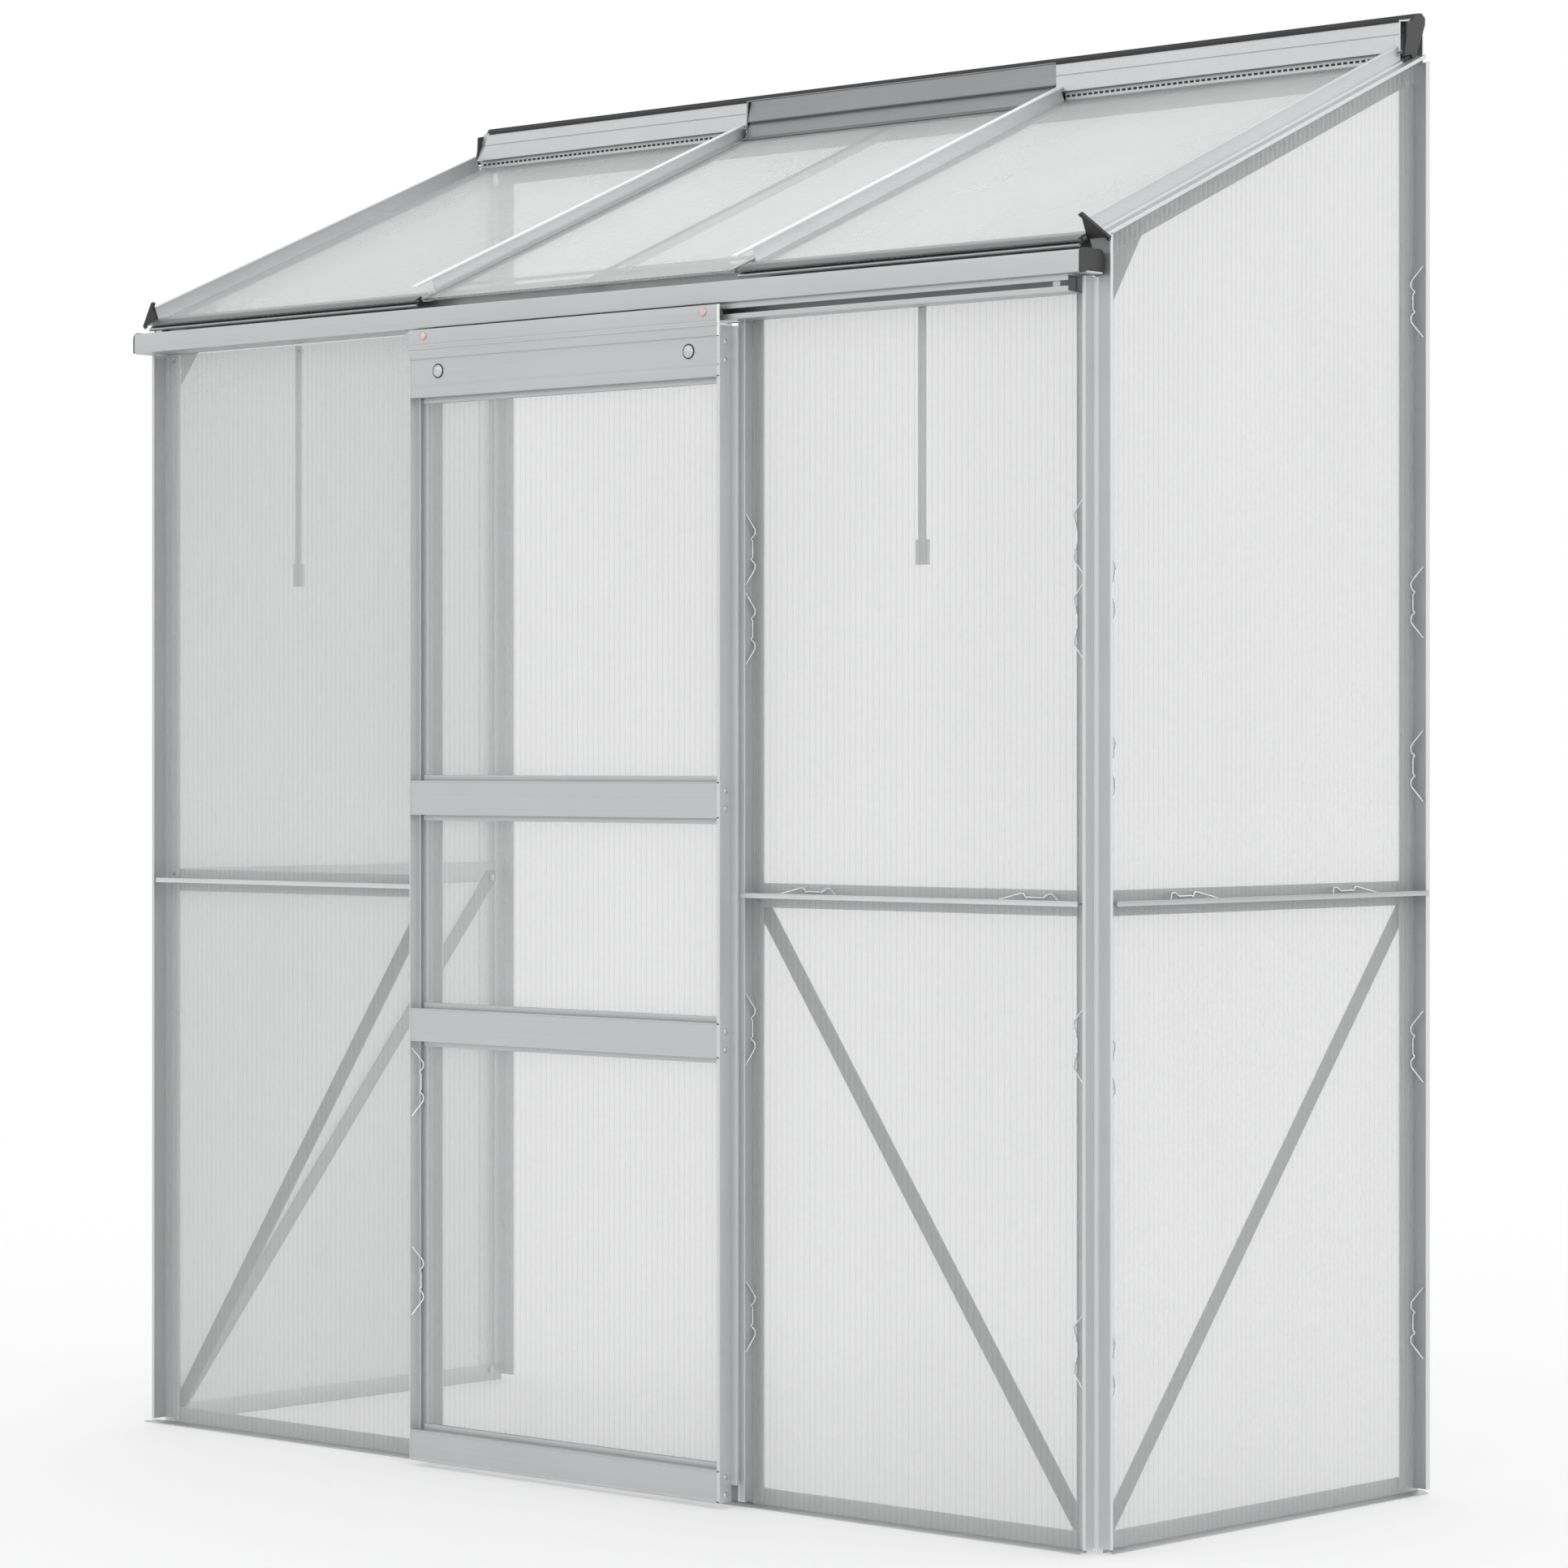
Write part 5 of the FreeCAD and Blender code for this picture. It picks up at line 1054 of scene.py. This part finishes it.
def door_fixings():
    """Axle screws, domed bolts and the stiles' screws."""
    face = DOOR_FACE - 2
    end = high("door_roller_left")[1] + 3 - face
    axle = np.vstack([domed(6.5, 4.0, 3.0, end - 2.2)[:-1], [(4.5, end - 2.2), (4.5, end), (0, end)]])
    axles = [turned(axle, middle("door_roller_" + side) * (1, 0, 1) + face * Y, Y) for side, _ in SIDES[::-1]]
    parts = []
    shade_rings = []
    for x in (DOOR_LEFT + 60, DOOR_RIGHT - 60):
        at = np.array([x, DOOR_FACE + 0.7, 1595.0])
        parts.append(turned(domed(9.5, 4.5, 2.5, 8), at, Y, 32))
        # Painted shade: a thin dark rubber ring under each dome stands for the shade round its rim.
        shade_rings.append(turned([(0, -0.9), (10.6, -0.9), (10.6, -0.05), (0, -0.05)], at, Y, 32))
    screw = domed(4.5, 2.0, 2.0, 8)
    for z0, z1 in door_limits():
        for z in ((z0 + z1) / 2 - 12.5, (z0 + z1) / 2 + 12.5):
            for x, inward in ((DOOR_RIGHT, -X), (DOOR_LEFT, X)):
                parts.append(turned(screw, np.array([x, DOOR_FACE + 12.25, z]), inward))
    piece("door_fixings", parts, "zinc", "door_fasteners", body="door")
    piece("door_axle_screws", axles, "passivated", body="door")
    piece("door_dome_washers", shade_rings, "rubber", body="door")


# Stage

def make_camera():
    """The photograph's view, fitted to the straight edges of the object: level, from the right of
    the front, a little over 5 m away."""
    data = bpy.data.cameras.new("camera")
    settings = bpy.context.scene.greenhouse
    data.lens = settings.lens
    data.sensor_width = 36.0
    data.shift_y = -0.0178
    data.clip_end = 300.0
    camera = shown("camera", data)
    camera.location = (4.897, -5.253, 1.0357)
    camera.rotation_euler = (math.radians(90), 0, settings.azimuth)
    bpy.context.scene.camera = camera


def make_lamp(name, place_at, aim, size, power):
    """A soft square lamp pointed at a place."""
    data = bpy.data.lights.new(name, "AREA")
    data.size = size
    data.energy = power
    lamp = shown(name, data)
    lamp.location = place_at
    way = np.asarray(aim, float) - np.asarray(place_at, float)
    flat = math.hypot(way[0], way[1])
    lamp.rotation_euler = (math.atan2(flat, -way[2]), 0, math.atan2(-way[0], way[1]))


def make_world():
    """A white studio: pure white behind the object, and soft light from every side, two fifths
    brighter from behind the right end than from the front left."""
    world = bpy.data.worlds.new("white studio")
    bpy.context.scene.world = world
    world.use_nodes = True
    tree = world.node_tree
    tree.nodes.clear()
    way = add(tree, "ShaderNodeTexCoord").outputs["Generated"]
    toward = add(tree, "ShaderNodeVectorMath", {0: way}, operation="DOT_PRODUCT")
    toward.inputs[1].default_value = (0.74, 0.67, 0.0)
    limits = {"From Min": -1.0, "To Min": 0.94, "To Max": 1.32}
    tone = add(tree, "ShaderNodeMapRange", {"Value": toward.outputs["Value"]}, **limits).outputs["Result"]
    seen = add(tree, "ShaderNodeLightPath").outputs["Is Camera Ray"]
    strength = add(tree, "ShaderNodeMix", {"Factor": seen, "A": tone}, B=1.0)
    background = add(tree, "ShaderNodeBackground", {"Strength": strength.outputs["Result"]}, Color=linear("FFFFFF"))
    add(tree, "ShaderNodeOutputWorld", {"Surface": background.outputs["Background"]})


def make_floor():
    """A plain white floor, lit like a light table, that runs out of sight."""
    half = 80.0
    mesh = bpy.data.meshes.new("floor")
    mesh.from_pydata([(-half, -half, 0), (half, -half, 0), (half, half, 0), (-half, half, 0)], [], [[0, 1, 2, 3]])
    material, tree = blank("pale floor")
    glow = {"Emission Color": linear("FFFFFF"), "Emission Strength": 0.38}
    shade(tree, {}, Roughness=0.8, **{"Base Color": linear("BCBCBC")}, **glow)
    mesh.materials.append(material)
    floor = shown("floor", mesh)


# Add-on

def colour_setting(name, description, colour):
    """A colour of the panel that starts at a hex value."""
    return bpy.props.FloatVectorProperty(name=name, description=description, subtype="COLOR", min=0.0, max=1.0,
                                         default=linear(colour)[:3])


class GreenhouseSettings(bpy.types.PropertyGroup):
    """What a user would change."""
    flute: bpy.props.FloatProperty(
        name="Flute pitch", description="From rib to rib in the twin-wall sheets", default=0.0105, min=0.004,
        precision=4, unit="LENGTH")
    wire: bpy.props.FloatProperty(
        name="Clip wire", description="Radius of the spring wire of the glazing clips", default=0.0012,
        min=0.0005, max=0.0025, precision=4, unit="LENGTH")
    sheet_veil: bpy.props.FloatProperty(
        name="Sheet veil", description="How much each face of an upright sheet hides of what lies behind",
        default=0.18, min=0.0, max=1.0, subtype="FACTOR")
    # Painted shade: the colour over each rib stands for the shade of its sink line and of the rib behind the skin.
    sheet_rib: colour_setting("Sheet at a rib", "Colour of the upright sheets over their ribs", "BFC0C0")
    sheet_skin: colour_setting("Sheet", "Colour of the upright sheets between their ribs", "D4D5D5")
    bar_dark: colour_setting("Bar, dark", "Darkest tone of the bars along the front", "BEBFC0")
    bar_pale: colour_setting("Bar, pale", "Palest tone of the bars along the front", "C6C7C8")
    lens: bpy.props.FloatProperty(
        name="Lens", description="Focal length on a 36 mm wide sensor", default=111.75, min=10.0, unit="CAMERA")
    azimuth: bpy.props.FloatProperty(
        name="Azimuth", description="How far the camera is turned round to the right",
        default=math.radians(42.56), subtype="ANGLE")


class DressNodes(bpy.types.Operator):
    """Give every node of the frame the finish of its slot"""
    bl_idname = "greenhouse.dress_nodes"
    bl_label = "Finish the frame's own nodes"

    def execute(self, context):
        make_finishes(context.scene.greenhouse)
        slots = {part["node"]: part["material_slot"] for part in frame["record"]["subparts"]}
        for name, node in frame["nodes"].items():
            node.data.materials.clear()
            node.data.materials.append(MADE[next(iter(FINISHES[slots[name]]))])
        return {"FINISHED"}


class BuildStage(bpy.types.Operator):
    """Camera, lamp, world and floor"""
    bl_idname = "greenhouse.stage"
    bl_label = "Stage"

    def execute(self, context):
        context.scene.view_settings.view_transform = "Standard"
        context.scene.cycles.transparent_max_bounces = 40
        make_world()
        make_camera()
        make_lamp("key", (-2.5, -6.0, 5.0), (0, 0, 1.0), 4.0, 25.0)
        make_floor()
        return {"FINISHED"}


class BuildUprights(bpy.types.Operator):
    """Corner posts, jamb bars and rear posts"""
    bl_idname = "greenhouse.uprights"
    bl_label = "Uprights"

    def execute(self, context):
        upright_bars()
        return {"FINISHED"}


class BuildMidRails(bpy.types.Operator):
    """The bars half way up"""
    bl_idname = "greenhouse.mid_rails"
    bl_label = "Mid rails"

    def execute(self, context):
        mid_rail_bars()
        return {"FINISHED"}


class BuildBase(bpy.types.Operator):
    """The rails on the ground"""
    bl_idname = "greenhouse.base"
    bl_label = "Base rails"

    def execute(self, context):
        base_bars()
        return {"FINISHED"}


class BuildRoofEdges(bpy.types.Operator):
    """Rafters and roof bars"""
    bl_idname = "greenhouse.roof_edges"
    bl_label = "Roof bars"

    def execute(self, context):
        roof_edges()
        return {"FINISHED"}


class BuildGutter(bpy.types.Operator):
    """The gutter's channel"""
    bl_idname = "greenhouse.gutter"
    bl_label = "Gutter"

    def execute(self, context):
        gutter_channel()
        return {"FINISHED"}


class BuildTrack(bpy.types.Operator):
    """The channel over the door"""
    bl_idname = "greenhouse.track"
    bl_label = "Door track"

    def execute(self, context):
        track_channel()
        return {"FINISHED"}


class BuildDoor(bpy.types.Operator):
    """Stiles and rails of the door"""
    bl_idname = "greenhouse.door"
    bl_label = "Door bars"

    def execute(self, context):
        door_bars()
        return {"FINISHED"}


class BuildHanger(bpy.types.Operator):
    """The plate with the roller axles"""
    bl_idname = "greenhouse.hanger"
    bl_label = "Door hanger"

    def execute(self, context):
        hanger_bar()
        return {"FINISHED"}


class BuildRetainers(bpy.types.Operator):
    """The strips along the roof sheets' lower edges"""
    bl_idname = "greenhouse.retainers"
    bl_label = "Retainers"

    def execute(self, context):
        retainer_bars()
        return {"FINISHED"}


class BuildSheets(bpy.types.Operator):
    """All twin-wall sheets"""
    bl_idname = "greenhouse.sheets"
    bl_label = "Sheets"

    def execute(self, context):
        sheets()
        return {"FINISHED"}


class BuildClips(bpy.types.Operator):
    """The spring clips"""
    bl_idname = "greenhouse.clips"
    bl_label = "Clips"

    def execute(self, context):
        clips()
        return {"FINISHED"}


class BuildFixings(bpy.types.Operator):
    """Screws, bolts and axles"""
    bl_idname = "greenhouse.fixings"
    bl_label = "Door fixings"

    def execute(self, context):
        door_fixings()
        return {"FINISHED"}


class BuildHingeRail(bpy.types.Operator):
    """The vent's top rail"""
    bl_idname = "greenhouse.hinge_rail"
    bl_label = "Hinge rail"

    def execute(self, context):
        hinge_rail()
        return {"FINISHED"}


class BuildRidgeBands(bpy.types.Operator):
    """The ridge's face beside the vent"""
    bl_idname = "greenhouse.ridge_bands"
    bl_label = "Ridge bands"

    def execute(self, context):
        ridge_bands()
        return {"FINISHED"}


class BuildRidgeComb(bpy.types.Operator):
    """The strips that close the roof sheets' upper ends"""
    bl_idname = "greenhouse.ridge_comb"
    bl_label = "Ridge closures"

    def execute(self, context):
        ridge_comb()
        return {"FINISHED"}


class BuildGutterEnds(bpy.types.Operator):
    """The end plates of the gutter"""
    bl_idname = "greenhouse.gutter_ends"
    bl_label = "Gutter ends"

    def execute(self, context):
        gutter_ends()
        return {"FINISHED"}


STEPS = [
    BuildStage, DressNodes, BuildUprights, BuildMidRails, BuildBase, BuildRoofEdges, BuildGutter,
    BuildTrack, BuildDoor, BuildHanger, BuildRetainers, BuildSheets, BuildClips, BuildFixings,
    BuildHingeRail, BuildRidgeBands, BuildRidgeComb, BuildGutterEnds,
]


class GreenhousePanel(bpy.types.Panel):
    """Lists the settings and the steps in the sidebar"""
    bl_idname = "GREENHOUSE_PT_steps"
    bl_label = "Greenhouse"
    bl_space_type = "VIEW_3D"
    bl_region_type = "UI"
    bl_category = "Greenhouse"

    def draw(self, context):
        for setting in GreenhouseSettings.__annotations__:
            self.layout.prop(context.scene.greenhouse, setting)
        for step in STEPS:
            self.layout.operator(step.bl_idname)


CLASSES = [GreenhouseSettings, *STEPS, GreenhousePanel]


def register():
    """Adds the classes and the settings to Blender."""
    for item in CLASSES:
        bpy.utils.register_class(item)
    bpy.types.Scene.greenhouse = bpy.props.PointerProperty(type=GreenhouseSettings)


def unregister():
    """Takes them out again."""
    del bpy.types.Scene.greenhouse
    for item in reversed(CLASSES):
        bpy.utils.unregister_class(item)


def main():
    """Builds the whole scene."""
    register()
    for step in STEPS:
        name = step.bl_idname.split(".")[1]
        getattr(bpy.ops.greenhouse, name)()


if __name__ == "__main__":
    main()
